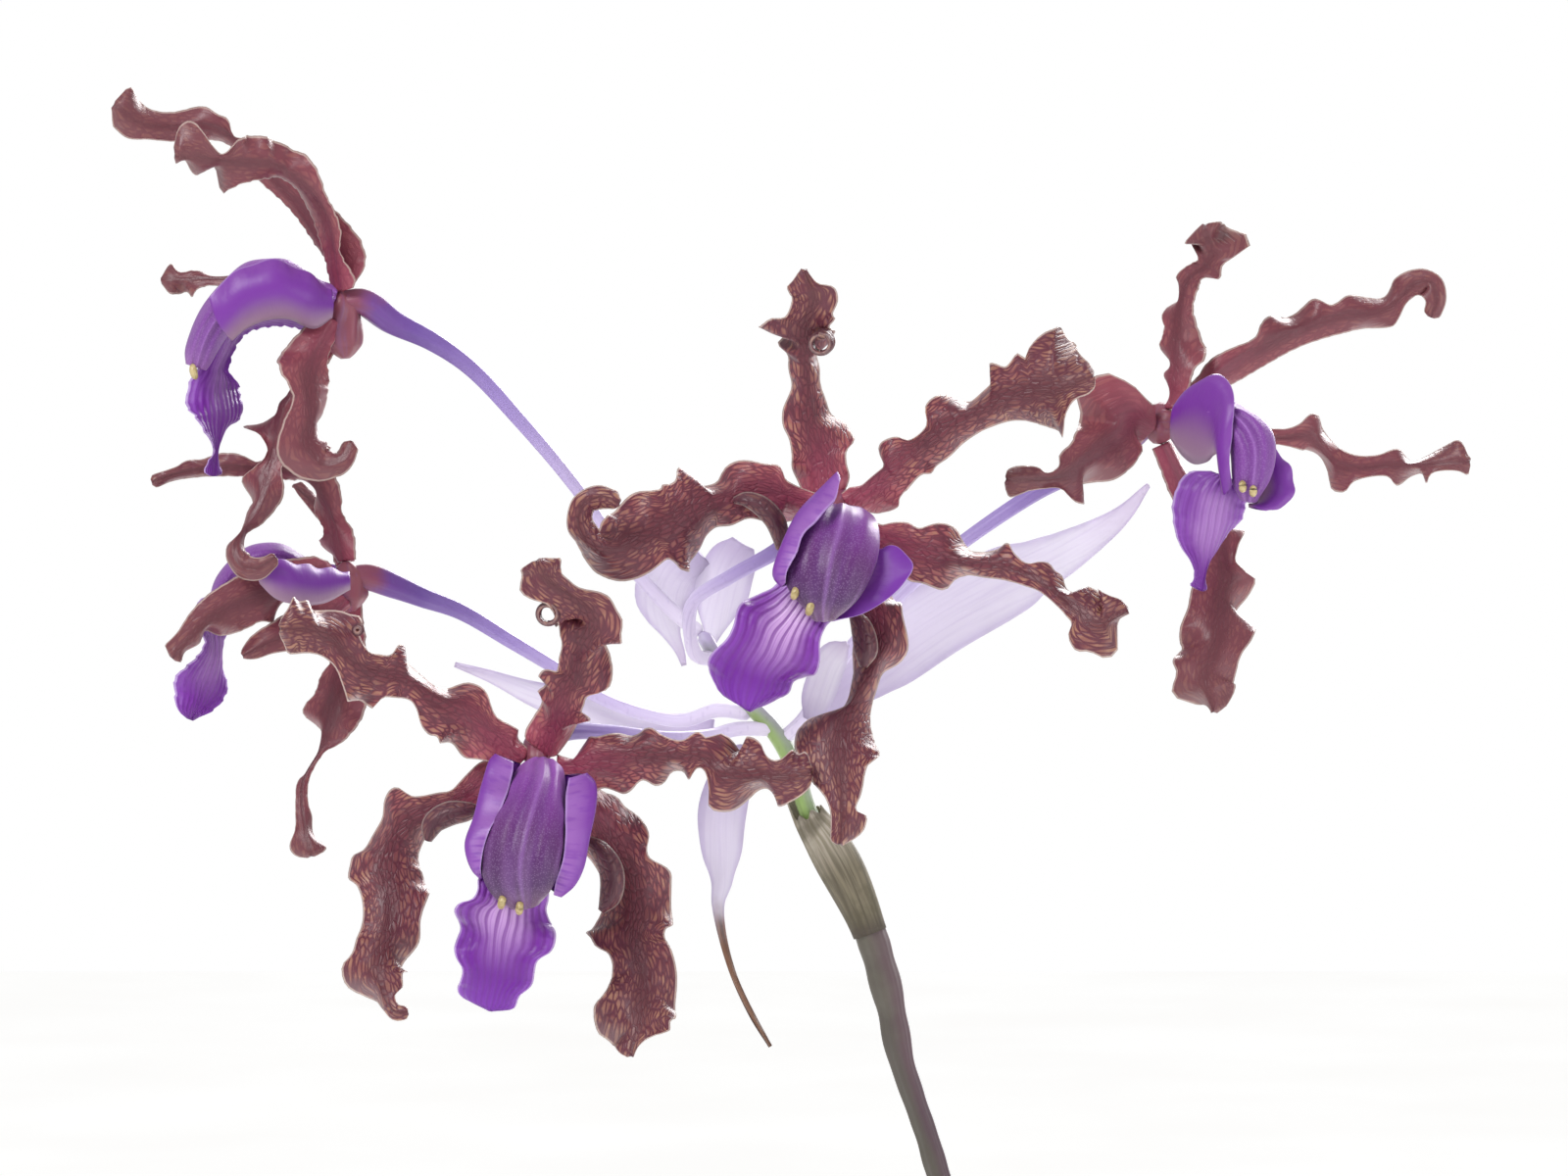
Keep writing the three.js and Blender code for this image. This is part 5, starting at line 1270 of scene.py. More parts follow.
class ORCHID_OT_columns(bpy.types.Operator):
    """Waxy column of each flower, with two pale teeth at its end"""
    bl_idname = "orchid.columns"
    bl_label = "Columns"

    def execute(self, context):
        for number, (name, flower) in enumerate(FLOWERS.items()):
            shape = flower["column"]
            centre = centre_of(flower)
            line, at = even_line(marks(shape["mid"]), 0.4)
            count = len(line)
            left, right = blade_widths(shape, line, COLUMN_FOOT, float(shape["tip"]), COLUMN_LIMIT,
                                       COLUMN_SETTLE)
            front = rows_along(marks(shape["front"])[:, 0], count)
            side = np.pad(left_of(line), ((0, 0), (0, 1)))
            over = unit(np.cross(side, unit(np.gradient(line, axis=0))))
            angle = np.linspace(0, FULL_TURN, COLUMN_SIDES, endpoint=False)
            cosine, sine = np.cos(angle), np.sin(angle)
            reach = np.where(cosine[None, :] > 0, left[:, None], right[:, None]) * cosine[None, :]
            rise = np.where(sine > 0, 1.0, -0.32) * np.abs(sine) ** 0.85
            ridge = 0.06 * np.cos(cosine * 11) * (sine > 0) * np.abs(sine)
            rise = (rise + ridge)[None, :] * front[:, None]
            rings = line[:, None, :] + side[:, None, :] * reach[..., None]
            rings = rings + over[:, None, :] * rise[..., None]
            flow = np.stack([by_row(at, COLUMN_SIDES) / 10, by_column(angle, count) / FULL_TURN * 3], -1)
            along = by_row(at / at[-1], COLUMN_SIDES)
            parts = [loft(f"{name}_dome", seen(rings + centre), "column", flow, 3.0,
                          {"along": along, "soft": np.full_like(along, softness(number))})]
            for k, tooth in enumerate(flower["teeth"].values()):
                parts.append(stalk(f"{name}_tooth_{k}", seen(marks(tooth) + centre), TOOTH_RADII,
                                   "tooth", 0.2, sides=18))
            piece = joined(f"{name}_column_wax", parts)
            declare(piece, "column", f"{name}_column")
        return {"FINISHED"}


# Pedicels: right, up and depth on the sheet, from just behind the flower to the stem
PEDICELS = {
    "flower_1": "6.5,12.5,18.5 -1,6.5,25 -9,2,31 -15.5,-2.5,39 -16,-8,44 -14.8,-11.5,46.5 -11.5,-12,49.5",
    "flower_2": "-39,-24.5,14 -30,-24.5,26 -19,-25.5,38 -12,-25,45 -8,-24,47.5 -2,-24,50",
    "flower_3": "58.5,25.5,45 50,20,48 42.5,16,50 30,7.5,51 21.5,.5,51 11.5,-10,50.5 6,-18,50"
                " 3.2,-22.5,50 -.5,-26,50",
    "flower_4": "-66.5,45.2,42 -60,42,43 -53.5,37.5,44 -45,28.5,46 -36.5,18.5,48 -31.5,11.5,50"
                " -25,2.5,51.5 -18,-4.8,52 -14,-7.8,50.5",
    "flower_5": "-66,.2,59 -61.5,-1.6,59.5 -55,-4,60 -46.5,-9,60 -39,-13.5,59 -31.5,-18.5,57.5"
                " -23.5,-21.5,56 -17,-22.5,54 -11.2,-20.8,52 -5.5,-21.5,50.5",
}
RECEPTACLE = (2.2, -1.0, -4.4)
PEDICEL_RADII = (1.8, 2.5, 1.9, 1.5, 1.35, 1.25, 1.2, 1.2, 1.2, 1.25, 1.3)
SWOLLEN_RADII = (2.0, 3.2, 3.4, 2.2)
SWOLLEN_FEET = {
    "flower_3": "-.5,3,2 -1,0,2 -1.5,-4,2",
    "flower_4": ".5,2.5,0 .8,-2.5,.5 1.4,-9.5,1",
    "flower_5": ".5,3,0 .8,-1,.5 1.4,-5.5,1",
}


class ORCHID_OT_pedicels(bpy.types.Operator):
    """Ribbed flower stalks from the stem to the back of each flower"""
    bl_idname = "orchid.pedicels"
    bl_label = "Flower stalks"

    def execute(self, context):
        stops = (0.0, 0x8A4A56, 0.07, 0x86435C, 0.12, 0x6C4090, 0.2, 0x6C4C98, 0.4, 0x9C86C4,
                 0.7, 0xCBBEDF, 1.0, 0xE0D8EA)
        material = stalk_material("pedicel_skin", stops, 0x7A62A0, glow=0.2)
        for name, flower in FLOWERS.items():
            yaw, pitch = np.radians(marks(flower["face"]["turn"])[0])
            forward = np.array([math.sin(yaw) * math.cos(pitch), math.sin(pitch),
                                -math.cos(yaw) * math.cos(pitch)])
            centre = centre_of(flower)
            start = [centre + forward * place for place in RECEPTACLE]
            route = seen(np.vstack([start, marks(PEDICELS[name])]))
            parts = [stalk(f"{name}_pedicel_skin", route, PEDICEL_RADII, material, 0.8, 6, 0.05)]
            if name in SWOLLEN_FEET:
                foot = seen(centre + marks(SWOLLEN_FEET[name]))
                parts.append(stalk("foot", foot, SWOLLEN_RADII, material, 0.5, 6, 0.06,
                                   fields={"along": 0.02}))
            declare(joined(f"{name}_pedicel_skin", parts), "pedicel", f"{name}_pedicel")
        return {"FINISHED"}


# Bracts: right, up, depth and half width, the side cup of the blade, and where it begins to dry
BRACTS = {
    "right_bract": ("5.5,-20,57,2 13.5,-14.5,60,5 25,-6,64,6.3 36.5,.5,67,6.2 48.5,6.5,70,4.4"
                    " 57,12,72,2.3 62,17.5,74,.3", 0.35, 1.4),
    "left_bract": ("-12,-24.5,58,2 -17,-25,60,3 -25,-24,62,3.4 -33,-21,64,3.2 -42.5,-18,65,2.2"
                   " -50,-15,66,1.1 -56,-13,66,.3", 0.35, 1.2),
    "hanging_bract": ("-6.5,-27,46,1.8 -8.5,-31,43,3.5 -10.5,-38,41,4 -10.6,-45,40,3.5 -10.6,-50,39,1.8"
                      " -11.2,-53.5,38.5,.8 -10.5,-59,38,.5 -8.5,-66,37,.4 -5.5,-72.5,37,.4"
                      " -2.3,-78,37,.2", 0.45, 0.6),
    "upper_bract": ("-14.5,6,57,2.6 -19,2.6,60,5.2 -20.6,-2,61,5 -19.4,-7,61,3.2 -17.6,-11,61,1.1"
                    " -17,-13.2,61,.3;-7,7.5,56,2 -9.5,3,57,4.2 -11,-2,57.5,4.6 -12,-7,58,3.2"
                    " -13,-10.5,58,1.2 -13.5,-12.5,58,.3", 0.35, 1.15),
    "small_bract": ("4.5,-22.5,45,1.2 6.2,-17,44,2.7 8.2,-12,43,2.7 10.8,-9.5,42,.4", 0.4, 1.2),
}


class ORCHID_OT_bracts(bpy.types.Operator):
    """Papery bracts under the flower stalks"""
    bl_idname = "orchid.bracts"
    bl_label = "Bracts"

    def execute(self, context):
        for number, (name, (text, cup, dry_from)) in enumerate(BRACTS.items()):
            blades = [self.blade(name, marks(rows), cup, dry_from, number) for rows in text.split(";")]
            declare(joined(f"{name}_paper", blades), "bract", name)
        return {"FINISHED"}

    def blade(self, name, rows, cup, dry_from, number):
        line, at = even_line(rows[:, :3], 0.8)
        count = len(line)
        half = np.maximum(rows_along(rows[:, 3], count), 0.2)
        side = np.pad(left_of(line), ((0, 0), (0, 1)))
        wave = np.sin(at * 0.55 + number) * 0.35 + np.sin(at * 1.3 + number) * 0.15

        def lift(x):
            ripple = wave[:, None] * (x ** 3)[None, :]
            return -cup * half[:, None] * (x ** 2)[None, :] + ripple

        def half_thick(x):
            return by_column(0.14 + 0.22 * (1 - x ** 2), count)

        rings, flow, fields = ribbon(line, at, side, half, half, lift, half_thick, seen, 17)
        fields["dry"] = np.clip((fields["along"] - dry_from + 0.35) / 0.7, 0, 1)
        return loft(name, rings, "bract", flow, 0.0, fields)


# Bulbs and stem. The bulbs stand in a row on the rhizome, the newest to the right.
BULBS = ("newest_pseudobulb", "second_pseudobulb", "oldest_pseudobulb")
BULB_X = (29.0, -4.0, -37.0)
BULB_LEAN = (2.0, -3.0, -9.0)
BULB_PROFILE = (0.3, 0.5, 0.74, 0.9, 0.98, 1.0, 0.97, 0.88, 0.72, 0.52, 0.36, 0.3)
BULB_RADIUS = 15.0
BULB_RIBS = 9
# Husks: where each begins and ends along its bulb, its gap and the length of its tongue
BULB_HUSKS = ((0.03, 0.24, 0.8, 16.0), (0.3, 0.36, 0.75, 5.0))


def bulb_ends(index):
    """Foot and top of a bulb in millimetres, from its place in the frame."""
    low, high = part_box(BULBS[index])
    foot = np.array([BULB_X[index], 0.0, low[2] / MM])
    top = np.array([BULB_X[index] + BULB_LEAN[index], 0.0, high[2] / MM])
    return foot, top


class ORCHID_OT_bulbs(bpy.types.Operator):
    """Furrowed bulbs with dry husks round their feet"""
    bl_idname = "orchid.bulbs"
    bl_label = "Bulbs"

    def execute(self, context):
        for index, name in enumerate(BULBS):
            foot, top = bulb_ends(index)
            radii = [share * BULB_RADIUS for share in BULB_PROFILE]

            def swell(t):
                joints = sum(np.exp(-((t - place) / 0.012) ** 2) for place in (0.3, 0.56, 0.8))
                return 1 - 0.035 * joints

            parts = [stalk(f"{name}_skin", np.array([foot, (foot + top) / 2, top]), radii, "bulb", 1.0,
                           BULB_RIBS + index, 0.05, 72, AWAY, swell)]
            length = np.linalg.norm(top - foot)
            for k, (begin, end, gap, tongue) in enumerate(BULB_HUSKS):
                steps = np.linspace(begin, end, 24)
                line = foot + (top - foot) * steps[:, None]
                radius = np.interp(steps * (len(radii) - 1), range(len(radii)), radii) + gap
                parts.append(wrapped("husk", line, (steps - begin) * length, radius, tongue, AWAY,
                                     1.7 * k + 2.1 * index, 0.5))
            declare(joined(f"{name}_skin", parts), "pseudobulb", name)
        return {"FINISHED"}


HEAD_STEM = marks(
    "26.3,-100,50,1.9 24.3,-93.3,50,1.8 22,-86.7,50,1.8 19.8,-80,50,2 17.8,-70,50,2.3 14.8,-59.2,50,2.6"
    " 11,-50,50,2.5 7.4,-43.3,50,1.9 4.2,-38.3,50,1.6 1.5,-30,50,1.6 -1.5,-24.5,50,1.6"
    " -6,-19.5,50,1.5 -9,-15,50,1.5 -12,-11,50,1.4 -14,-7.5,50,1.3"
)
STEM_OFFSETS = marks("0,0,0,3.6 -3,0,40,3.4 -11,0,100,3 -23,0,160,2.6 -39,0,220,2.2")
STEM_GAP = 0.35


def stem_points():
    _, top = bulb_ends(0)
    foot = top + np.array([0.0, 0.0, STEM_GAP])
    return np.vstack([foot + STEM_OFFSETS[:, :3], seen(HEAD_STEM[:, :3])])


def stem_radii(points, count=120):
    """Stem radius at even steps, so that each point of the route keeps its own."""
    walked = walked_along(points)
    given = np.concatenate([STEM_OFFSETS[:, 3], HEAD_STEM[:, 3]])
    return np.interp(np.linspace(0, 1, count), walked / walked[-1], given)


class ORCHID_OT_scape(bpy.types.Operator):
    """Flower stem, green where the flower stalks leave it, with joints along its length"""
    bl_idname = "orchid.scape"
    bl_label = "Flower stem"

    def execute(self, context):
        stops = (0.0, 0x6E7444, 0.3, 0x6E6E4A, 0.66, 0x444034, 0.79, 0x4C4640, 0.85, 0x605C50,
                 0.89, 0x7E9C50, 0.95, 0x8DA468, 1.0, 0xB9B0CC)
        # shaded is a darker copy of these colours, painted as shade down one side of the stem
        shaded = (0.0, 0x66603C, 0.3, 0x5E4A40, 0.66, 0x3A2838, 0.79, 0x553A46, 0.85, 0x5A464C,
                  0.89, 0x67843E, 1.0, 0xA99AC0)
        material = stalk_material("scape_skin", stops, 0x4E3E40, 0.5, 0.06, shaded)

        def swell(t):
            places = (0.1, 0.2, 0.31, 0.42, 0.52, 0.62, 0.69, 0.73, 0.765, 0.79, 0.815)
            joints = sum(np.exp(-((t - place) / 0.007) ** 2) for place in places)
            husks = sum(np.clip(1 - np.abs(t - place - 0.018) / 0.018, 0, 1) for place in places)
            return 1 + 0.14 * joints + 0.14 * husks

        points = stem_points()
        piece = stalk("scape_skin", points, stem_radii(points), material, 1.0, 7, 0.05, 40, AWAY, swell)
        declare(piece, "scape", "scape")
        return {"FINISHED"}


# Sheaths: where each begins and ends along the stem, its lower and upper radius and how it flares
SHEATHS = {
    "upper_sheath": (0.53, 0.695, 2.85, 2.2, 1.35),
    "lower_sheath": (0.12, 0.19, 3.7, 3.6, 0.5),
}


class ORCHID_OT_sheaths(bpy.types.Operator):
    """Papery sheaths that wrap the stem"""
    bl_idname = "orchid.sheaths"
    bl_label = "Sheaths"

    def execute(self, context):
        points = stem_points()
        for name, (begin, end, low, high, flare) in SHEATHS.items():
            dense = curve_through(points)
            span = dense[int(begin * len(dense)):int(end * len(dense))]
            line, at = even_line(span[::6], 1.0)
            t = at / at[-1]
            radius = low + (high - low) * t + flare * np.sin(math.pi * (0.95 * t ** 1.3))
            declare(wrapped(f"{name}_paper", line, at, radius, 7.0, AWAY), "sheath", name)
        return {"FINISHED"}


def wrapped(name, line, at, radius, tongue, up, turn=0.8, start=0.0):
    """A papery wall round a line, open at both ends, with a torn top and a tongue on one side."""
    count = len(line)
    sides = 64
    t = at / at[-1]
    angle = np.linspace(0, FULL_TURN, sides, endpoint=False)
    turns = by_column(angle, count)
    crease = 1 + 0.05 * np.sin(angle[None, :] * 5 + at[:, None] * 0.1) * t[:, None]
    outer = around(line, radius + 0.3, (turns, crease), up)
    inner = around(line, radius, (turns, crease), up)
    reach = tongue * np.maximum(np.cos(angle - turn), 0) ** 3 - 1.2 * np.cos(angle * 3 + turn) ** 2
    shift = (t ** 6)[:, None, None] * reach[None, :, None] * unit(np.gradient(line, axis=0))[-1]
    rings = np.concatenate([outer + shift, (inner + shift)[::-1]], 0)
    along = np.concatenate([t, t[::-1]])
    flow = np.stack([by_row(np.concatenate([at, at[::-1]]), sides) / 10,
                     by_column(angle, 2 * count) / FULL_TURN * 2], -1)
    fields = {"along": start + (1 - start) * by_row(along, sides)}
    return loft(name, rings, "sheath", flow, 2.0, fields, tube=True)


# Leaves: out, rise and half width of a full grown leaf, then its bulb, heading, size and start
LEAF_ROWS = marks("0,0,4.5 6,28,11 15,62,19 30,98,23 52,132,22 80,160,16 112,178,2.5")
LEAVES = {
    "newest_leaf_front": (0, -58.0, 1.0, 8.5),
    "newest_leaf_back": (0, 72.0, 1.04, 8.5),
    "second_leaf_front": (1, -122.0, 0.95, 4.5),
    "second_leaf_back": (1, 128.0, 0.9, 4.5),
    "oldest_leaf": (2, -165.0, 0.82, 4.5),
}
LEAF_THICKNESS = 2.4
LEAF_FOOT_OUT = 3.2
LEAF_FOOT_DROP = 3.5


class ORCHID_OT_leaves(bpy.types.Operator):
    """Leathery keeled leaves that spread from the tops of the bulbs"""
    bl_idname = "orchid.leaves"
    bl_label = "Leaves"

    def execute(self, context):
        for number, (name, (bulb, heading, size, start)) in enumerate(LEAVES.items()):
            angle = math.radians(heading)
            out = np.array([math.cos(angle), math.sin(angle), 0.0])
            _, top = bulb_ends(bulb)
            points = top + out * (start + LEAF_ROWS[:, :1] * size)
            points = points + UPWARD * (2 * STEM_GAP + LEAF_ROWS[:, 1:2] * size)
            foot = top + out * LEAF_FOOT_OUT - UPWARD * LEAF_FOOT_DROP
            points = np.vstack([foot, points[1:]])
            line, at = even_line(points, 1.6)
            count = len(line)
            half = np.maximum(rows_along(LEAF_ROWS[:, 2] * size, count), 1.0)
            across = by_column((-out[1], out[0], 0.0), count)
            t = at / at[-1]
            sway = np.sin(at * 0.045 + number) * 1.1

            def lift(x):
                trough = 0.3 * half[:, None] * np.abs(x)[None, :] ** 1.25
                ripple = (sway * t)[:, None] * (x ** 3)[None, :]
                keel = 0.9 * np.exp(-(x / 0.05) ** 2)[None, :] * (1 - t)[:, None]
                return trough + ripple - keel

            def half_thick(x):
                body = 0.35 + 0.65 * (1 - np.abs(x) ** 2.5)
                taper = np.clip(1.15 - 0.55 * t, 0.4, 1)
                return body[None, :] * LEAF_THICKNESS * 0.5 * taper[:, None]

            rings, flow, fields = ribbon(line, at, -across, half, half, lift, half_thick,
                                         lambda p: p, 41)
            declare(loft(f"{name}_skin", rings, "leaf", flow, 0.0, fields), "leaf", name)
        return {"FINISHED"}


ROOTS = marks("22,-70,30 6,-105,27 -14,-80,33 -30,-120,24 14,75,31 -8,100,34 -34,60,27")
ROOT_RADIUS = 1.7
ROOT_BEND = 25.0
ROOT_RADII = (1.9, 1.8, 1.7, 1.7, 1.2)
RHIZOME_ENDS = (36.0, -48.0)
RHIZOME_RADII = (2.6, 4.4, 4.1, 4.4, 4.1, 4.4, 3)
RHIZOME_DEPTH = 4.5


class ORCHID_OT_rhizome(bpy.types.Operator):
    """Creeping rhizome and the roots that run over the bark"""
    bl_idname = "orchid.rhizome"
    bl_label = "Rhizome and roots"

    def execute(self, context):
        low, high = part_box("rhizome")
        bark_top = low[2] / MM
        axis = high[2] / MM - RHIZOME_DEPTH
        front, back = RHIZOME_ENDS
        middle = [[front + (back - front) * t, 0.0, axis] for t in (0, 0.25, 0.5, 0.75, 1)]

        def rings(t):
            return 1 - 0.06 * (np.sin(t * 75) > 0.75)

        parts = [stalk("rhizome_body", np.array(middle), RHIZOME_RADII, "root",
                       0.6, 0, 0.0, 36, None, rings, {"root": 0.0})]
        for k, (x, heading, length) in enumerate(ROOTS):
            angle = math.radians(heading)
            bend = math.radians(heading + ROOT_BEND)
            z = bark_top + ROOT_RADIUS
            knee = np.array([x + math.cos(angle) * length / 2, math.sin(angle) * length / 2, z])
            end = knee + np.array([math.cos(bend), math.sin(bend), 0]) * length / 2
            near = np.array([x, 0.0, axis]) * 0.75 + knee * 0.25 + np.array([0, 0, 1.0])
            route = np.array([[x, 0.0, axis], near, knee, end])
            parts.append(stalk(f"root_{k}", route, ROOT_RADII, "root", 0.7, 0, 0.0, 20,
                               None, lambda t: 1 + 0.06 * np.sin(t * 31), {"root": 1.0}))
        piece = joined("rhizome_skin", parts)
        declare(piece, "rhizome", "rhizome")
        return {"FINISHED"}


POT_OUTSIDE = marks(
    "0,0 46,0 48.4,.3 50,1.8 57.4,54 64.8,104.6 66.5,105.6 70,106.3 71,108.4 71,118 71,126.4 70.4,128.6"
    " 68.6,129.8 66,130"
)
POT_INSIDE = marks("64,129.9 62.2,129 61.2,127 60.6,122 44.6,11 43.6,9 41,8.2 0,8")
DRAIN_HOLES = 3
DRAIN_RADIUS = 6.0
DRAIN_RING = 27.0


def turned(name, profile, sides, kind):
    """A closed turned shape from a profile that starts and ends on the axis, in millimetres."""
    profile = np.asarray(profile)
    angle = np.linspace(0, FULL_TURN, sides, endpoint=False)
    inner = profile[1:-1]
    rings = np.stack([inner[:, :1] * np.cos(angle), inner[:, :1] * np.sin(angle),
                      by_row(inner[:, 1], sides)], -1)
    flow = np.stack([by_row(walked_along(inner), sides) / 10,
                     by_column(angle, len(inner)) / FULL_TURN * 8], -1)
    return loft(name, rings, kind, flow, 8.0)


class ORCHID_OT_pot(bpy.types.Operator):
    """Clay pot with a thick rim and drain holes"""
    bl_idname = "orchid.pot"
    bl_label = "Pot"

    def execute(self, context):
        profile = np.vstack([POT_OUTSIDE, POT_INSIDE])
        dense = []
        for a, b in zip(profile[:-1], profile[1:]):
            count = max(1, int(np.linalg.norm(b - a) / 4))
            dense += [a + (b - a) * t / count for t in range(count)]
        dense.append(profile[-1])
        pot = turned("pot_clay_shell", dense, 160, "clay")
        for k in range(DRAIN_HOLES):
            angle = FULL_TURN * (k + 0.25) / DRAIN_HOLES
            centre = Vector((math.cos(angle) * DRAIN_RING, math.sin(angle) * DRAIN_RING, 4)) * MM
            bpy.ops.mesh.primitive_cylinder_add(vertices=40, radius=DRAIN_RADIUS * MM, depth=0.024,
                                                location=centre)
            cutter = context.object
            cut = pot.modifiers.new("drain", "BOOLEAN")
            cut.operation = "DIFFERENCE"
            cut.solver = "EXACT"
            cut.object = cutter
            context.view_layer.objects.active = pot
            bpy.ops.object.modifier_apply(modifier=cut.name)
            bpy.data.objects.remove(cutter)
        declare(pot, "terracotta", "pot")
        return {"FINISHED"}


def chip_mesh():
    """One rough flake of bark, a few dozen faces."""
    bpy.ops.mesh.primitive_cube_add(size=1)
    chip = bpy.context.object
    chip.name = "chip_seed"
    cut = chip.modifiers.new("cut", "SUBSURF")
    cut.subdivision_type = "SIMPLE"
    cut.levels = 2
    cut.render_levels = 2
    bpy.ops.object.modifier_apply(modifier=cut.name)
    random = np.random.RandomState(7)
    for vertex in chip.data.vertices:
        x, y, z = vertex.co
        vertex.co = Vector((
            x * (1 - 0.35 * abs(y)) + random.uniform(-0.05, 0.05),
            y * 0.66 * (1 - 0.3 * abs(x)) + random.uniform(-0.05, 0.05),
            z * 0.3 + random.uniform(-0.035, 0.035) + 0.05 * math.sin(5 * x),
        ))
    return chip


def chip_tree(material, chip):
    """Scatters chips over a surface with a fixed seed, each with its own number for its colour."""
    tree = bpy.data.node_groups.new("Bark chips", "GeometryNodeTree")
    face = tree.interface
    face.new_socket("Surface", in_out="INPUT", socket_type="NodeSocketGeometry")
    size = face.new_socket("Chip size", in_out="INPUT", socket_type="NodeSocketFloat")
    dense = face.new_socket("Density", in_out="INPUT", socket_type="NodeSocketFloat")
    face.new_socket("Chips", in_out="OUTPUT", socket_type="NodeSocketGeometry")
    given = node(tree, "NodeGroupInput")
    spread = node(tree, "GeometryNodeDistributePointsOnFaces",
                  {"Mesh": given.outputs["Surface"], "Density": given.outputs["Density"], "Seed": 4})
    flake = node(tree, "GeometryNodeObjectInfo", {"Object": chip, "As Instance": True})
    turn = node(tree, "FunctionNodeRandomValue", {0: (-0.75, -0.75, 0.0), 1: (0.75, 0.75, 6.283),
                                                  "Seed": 5}, data_type="FLOAT_VECTOR")
    grow = node(tree, "FunctionNodeRandomValue", {2: 0.55, 3: 1.25, "Seed": 6}, data_type="FLOAT")
    scale = node(tree, "ShaderNodeMath", {0: grow.outputs[1], 1: given.outputs["Chip size"]},
                 operation="MULTIPLY")
    copies = node(tree, "GeometryNodeInstanceOnPoints", {
        "Points": spread.outputs["Points"], "Instance": flake.outputs["Geometry"],
        "Rotation": turn.outputs[0], "Scale": scale.outputs[0]})
    number = node(tree, "FunctionNodeRandomValue", {2: 0.0, 3: 1.0, "Seed": 8}, data_type="FLOAT")
    kept = node(tree, "GeometryNodeStoreNamedAttribute", {
        "Geometry": copies.outputs[0], "Name": "chip", "Value": number.outputs[1]},
        data_type="FLOAT", domain="INSTANCE")
    real = node(tree, "GeometryNodeRealizeInstances", {"Geometry": kept.outputs[0]})
    painted = node(tree, "GeometryNodeSetMaterial", {"Geometry": real.outputs[0], "Material": material})
    node(tree, "NodeGroupOutput", {"Chips": painted.outputs[0]})
    return tree, size.identifier, dense.identifier


class ORCHID_OT_bark(bpy.types.Operator):
    """Bark mix in the pot, with loose chips on top"""
    bl_idname = "orchid.bark"
    bl_label = "Bark"

    def execute(self, context):
        sizes = context.scene.orchid_sizes
        material = material_for("bark")
        low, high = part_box("bark")
        top = high[2] / MM
        radius = high[0] / MM
        profile = [[0, low[2] / MM], [44, low[2] / MM], [radius - 1.5, top - 9], [radius - 3, top - 5],
                   [radius * 0.6, top - 4.5], [radius * 0.3, top - 4.2], [0, top - 4]]
        bed = turned("bark_bed", profile, 72, material)
        bed.data.attributes.new("chip", "FLOAT", "POINT")
        spread = turned("chip_ground", [[0, top - 5], [radius - 5, top - 5], [radius - 6, top - 4.4],
                                        [0, top - 4.4]], 48, material)
        chip = chip_mesh()
        tree, size_key, dense_key = chip_tree(material, chip)
        scatter = spread.modifiers.new("chips", "NODES")
        scatter.node_group = tree
        scatter[size_key] = sizes.chip_size
        scatter[dense_key] = sizes.chip_density
        graph = context.evaluated_depsgraph_get()
        mesh = bpy.data.meshes.new_from_object(spread.evaluated_get(graph), depsgraph=graph)
        mesh.name = "loose_chips"
        chips = bpy.data.objects.new("loose_chips", mesh)
        context.scene.collection.objects.link(chips)
        for gone in (spread, chip):
            bpy.data.objects.remove(gone)
        declare(chips, "bark", "bark")
        declare(bed, "bark")
        return {"FINISHED"}


CAMERA_LENS = 108.0
SENSOR = 36.0


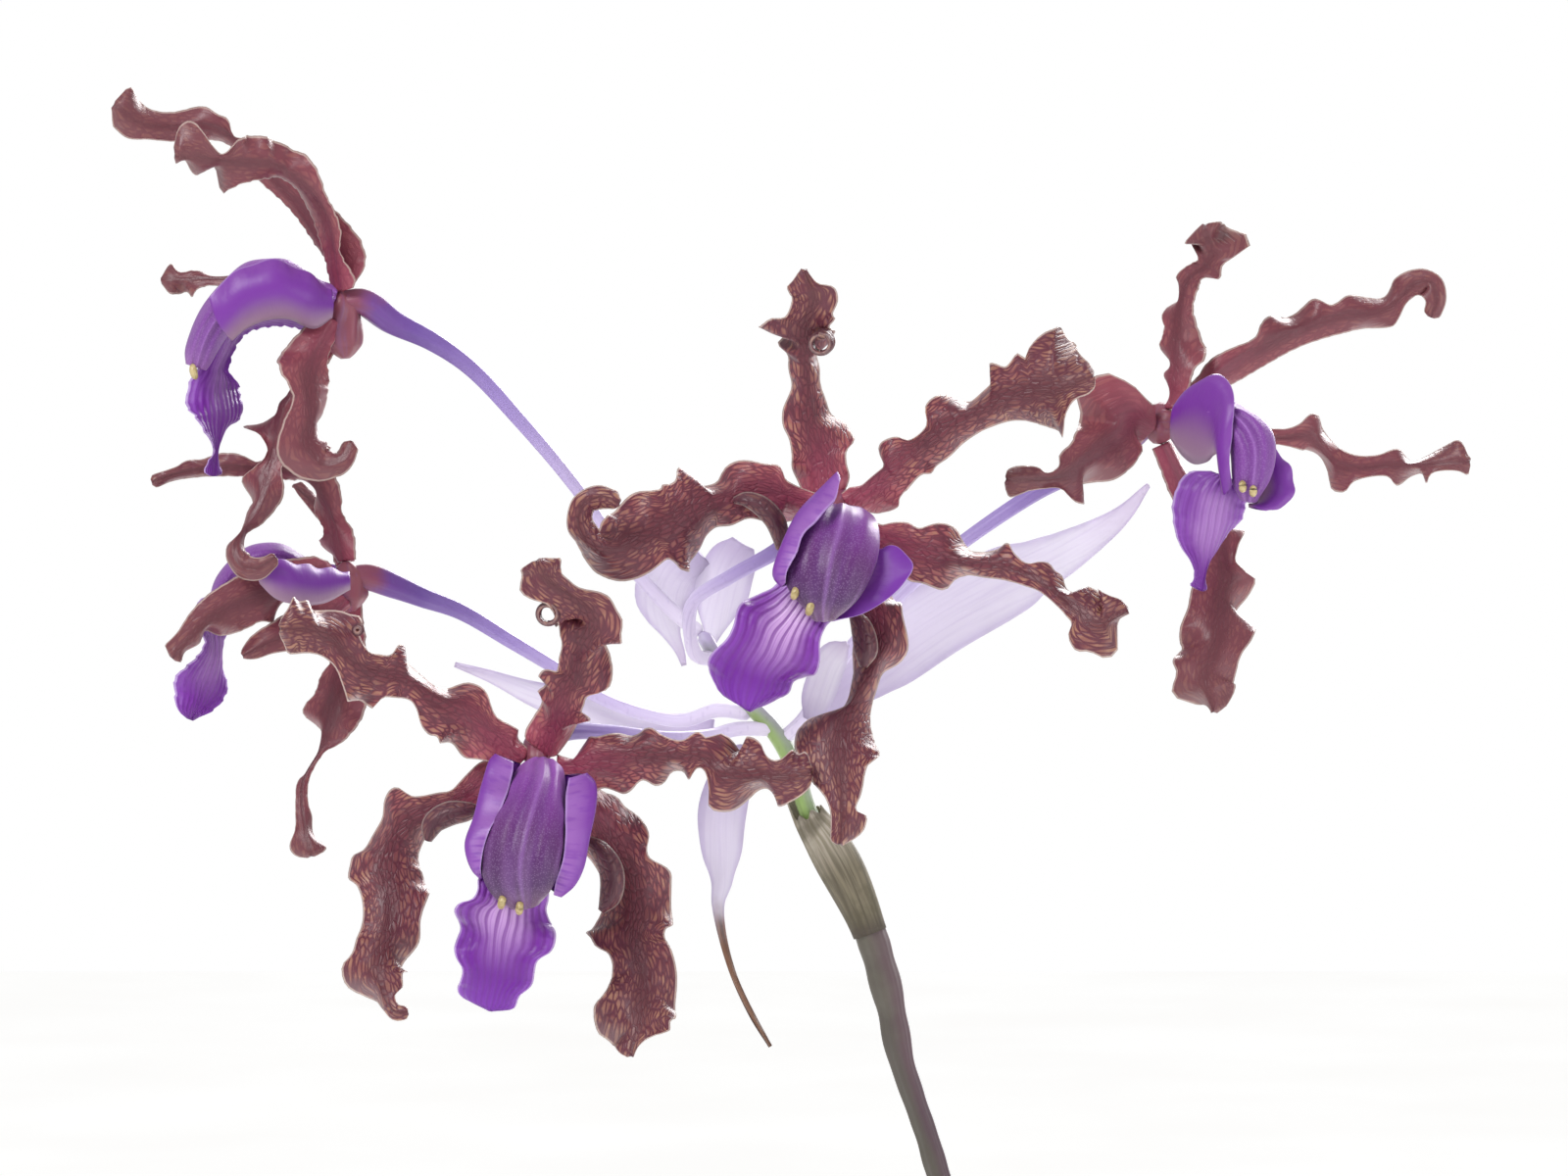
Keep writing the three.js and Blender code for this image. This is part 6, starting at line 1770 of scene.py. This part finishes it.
class ORCHID_OT_stage(bpy.types.Operator):
    """Pale floor, soft studio light and the camera"""
    bl_idname = "orchid.stage"
    bl_label = "Stage"

    def execute(self, context):
        scene = context.scene
        bpy.ops.mesh.primitive_plane_add(size=14)
        floor = context.object
        floor.name = "studio_floor"
        floor.data.materials.append(material_for("floor"))

        data = bpy.data.cameras.new("view")
        data.lens = CAMERA_LENS
        data.sensor_width = SENSOR
        camera = bpy.data.objects.new("view", data)
        camera.location = Vector((HEAD[0], HEAD[1] - VIEW_DISTANCE, HEAD[2])) * MM
        camera.rotation_euler = (math.radians(90), 0, 0)
        scene.collection.objects.link(camera)
        scene.camera = camera

        world = bpy.data.worlds.new("studio")
        world.use_nodes = True
        tree = world.node_tree
        tree.nodes.clear()
        seen_sky = node(tree, "ShaderNodeBackground", {"Color": (1, 1, 1, 1), "Strength": 1.0})
        light_sky = node(tree, "ShaderNodeBackground", {"Color": (1, 1, 1, 1), "Strength": 0.62})
        path = node(tree, "ShaderNodeLightPath")
        both = node(tree, "ShaderNodeMixShader", {0: path.outputs["Is Camera Ray"],
                                                  1: light_sky.outputs[0], 2: seen_sky.outputs[0]})
        node(tree, "ShaderNodeOutputWorld", {"Surface": both.outputs[0]})
        scene.world = world
        scene.view_settings.view_transform = "Standard"

        lamps = (
            ("key", (-0.7, -0.9, 1.5), 0.7, 15.0),
            ("back", (0.4, 1.1, 1.3), 1.0, 34.0),
            ("fill", (1.0, -0.7, 0.7), 0.9, 5.0),
        )
        target = Vector((-0.05, 0, 0.55))
        for name, spot, width, power in lamps:
            light = bpy.data.lights.new(name, "AREA")
            light.shape = "DISK"
            light.size = width
            light.energy = power
            lamp = bpy.data.objects.new(name, light)
            lamp.location = spot
            lamp.rotation_euler = (target - Vector(spot)).to_track_quat("-Z", "Y").to_euler()
            scene.collection.objects.link(lamp)
        return {"FINISHED"}


OPERATORS = (
    ORCHID_OT_stage, ORCHID_OT_tepals, ORCHID_OT_lips, ORCHID_OT_columns, ORCHID_OT_pedicels,
    ORCHID_OT_bracts, ORCHID_OT_scape, ORCHID_OT_sheaths, ORCHID_OT_bulbs, ORCHID_OT_leaves,
    ORCHID_OT_rhizome, ORCHID_OT_bark, ORCHID_OT_pot,
)


class ORCHID_PT_build(bpy.types.Panel):
    """Lists the pieces of the orchid"""
    bl_idname = "ORCHID_PT_build"
    bl_label = "Orchid"
    bl_space_type = "VIEW_3D"
    bl_region_type = "UI"
    bl_category = "Orchid"

    def draw(self, context):
        layout = self.layout
        for group in (context.scene.orchid_sizes, context.scene.orchid_tones):
            box = layout.box()
            for key in group.__annotations__:
                box.prop(group, key)
        for operator in OPERATORS:
            layout.operator(operator.bl_idname)


CLASSES = (OrchidTones, OrchidSizes, *OPERATORS, ORCHID_PT_build)


def register():
    for kind in CLASSES:
        bpy.utils.register_class(kind)
    bpy.types.Scene.orchid_tones = bpy.props.PointerProperty(type=OrchidTones)
    bpy.types.Scene.orchid_sizes = bpy.props.PointerProperty(type=OrchidSizes)


def unregister():
    del bpy.types.Scene.orchid_sizes
    del bpy.types.Scene.orchid_tones
    for kind in reversed(CLASSES):
        bpy.utils.unregister_class(kind)


def main():
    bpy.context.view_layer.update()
    register()
    for operator in OPERATORS:
        family, name = operator.bl_idname.split(".")
        getattr(getattr(bpy.ops, family), name)()


if __name__ == "__main__":
    main()
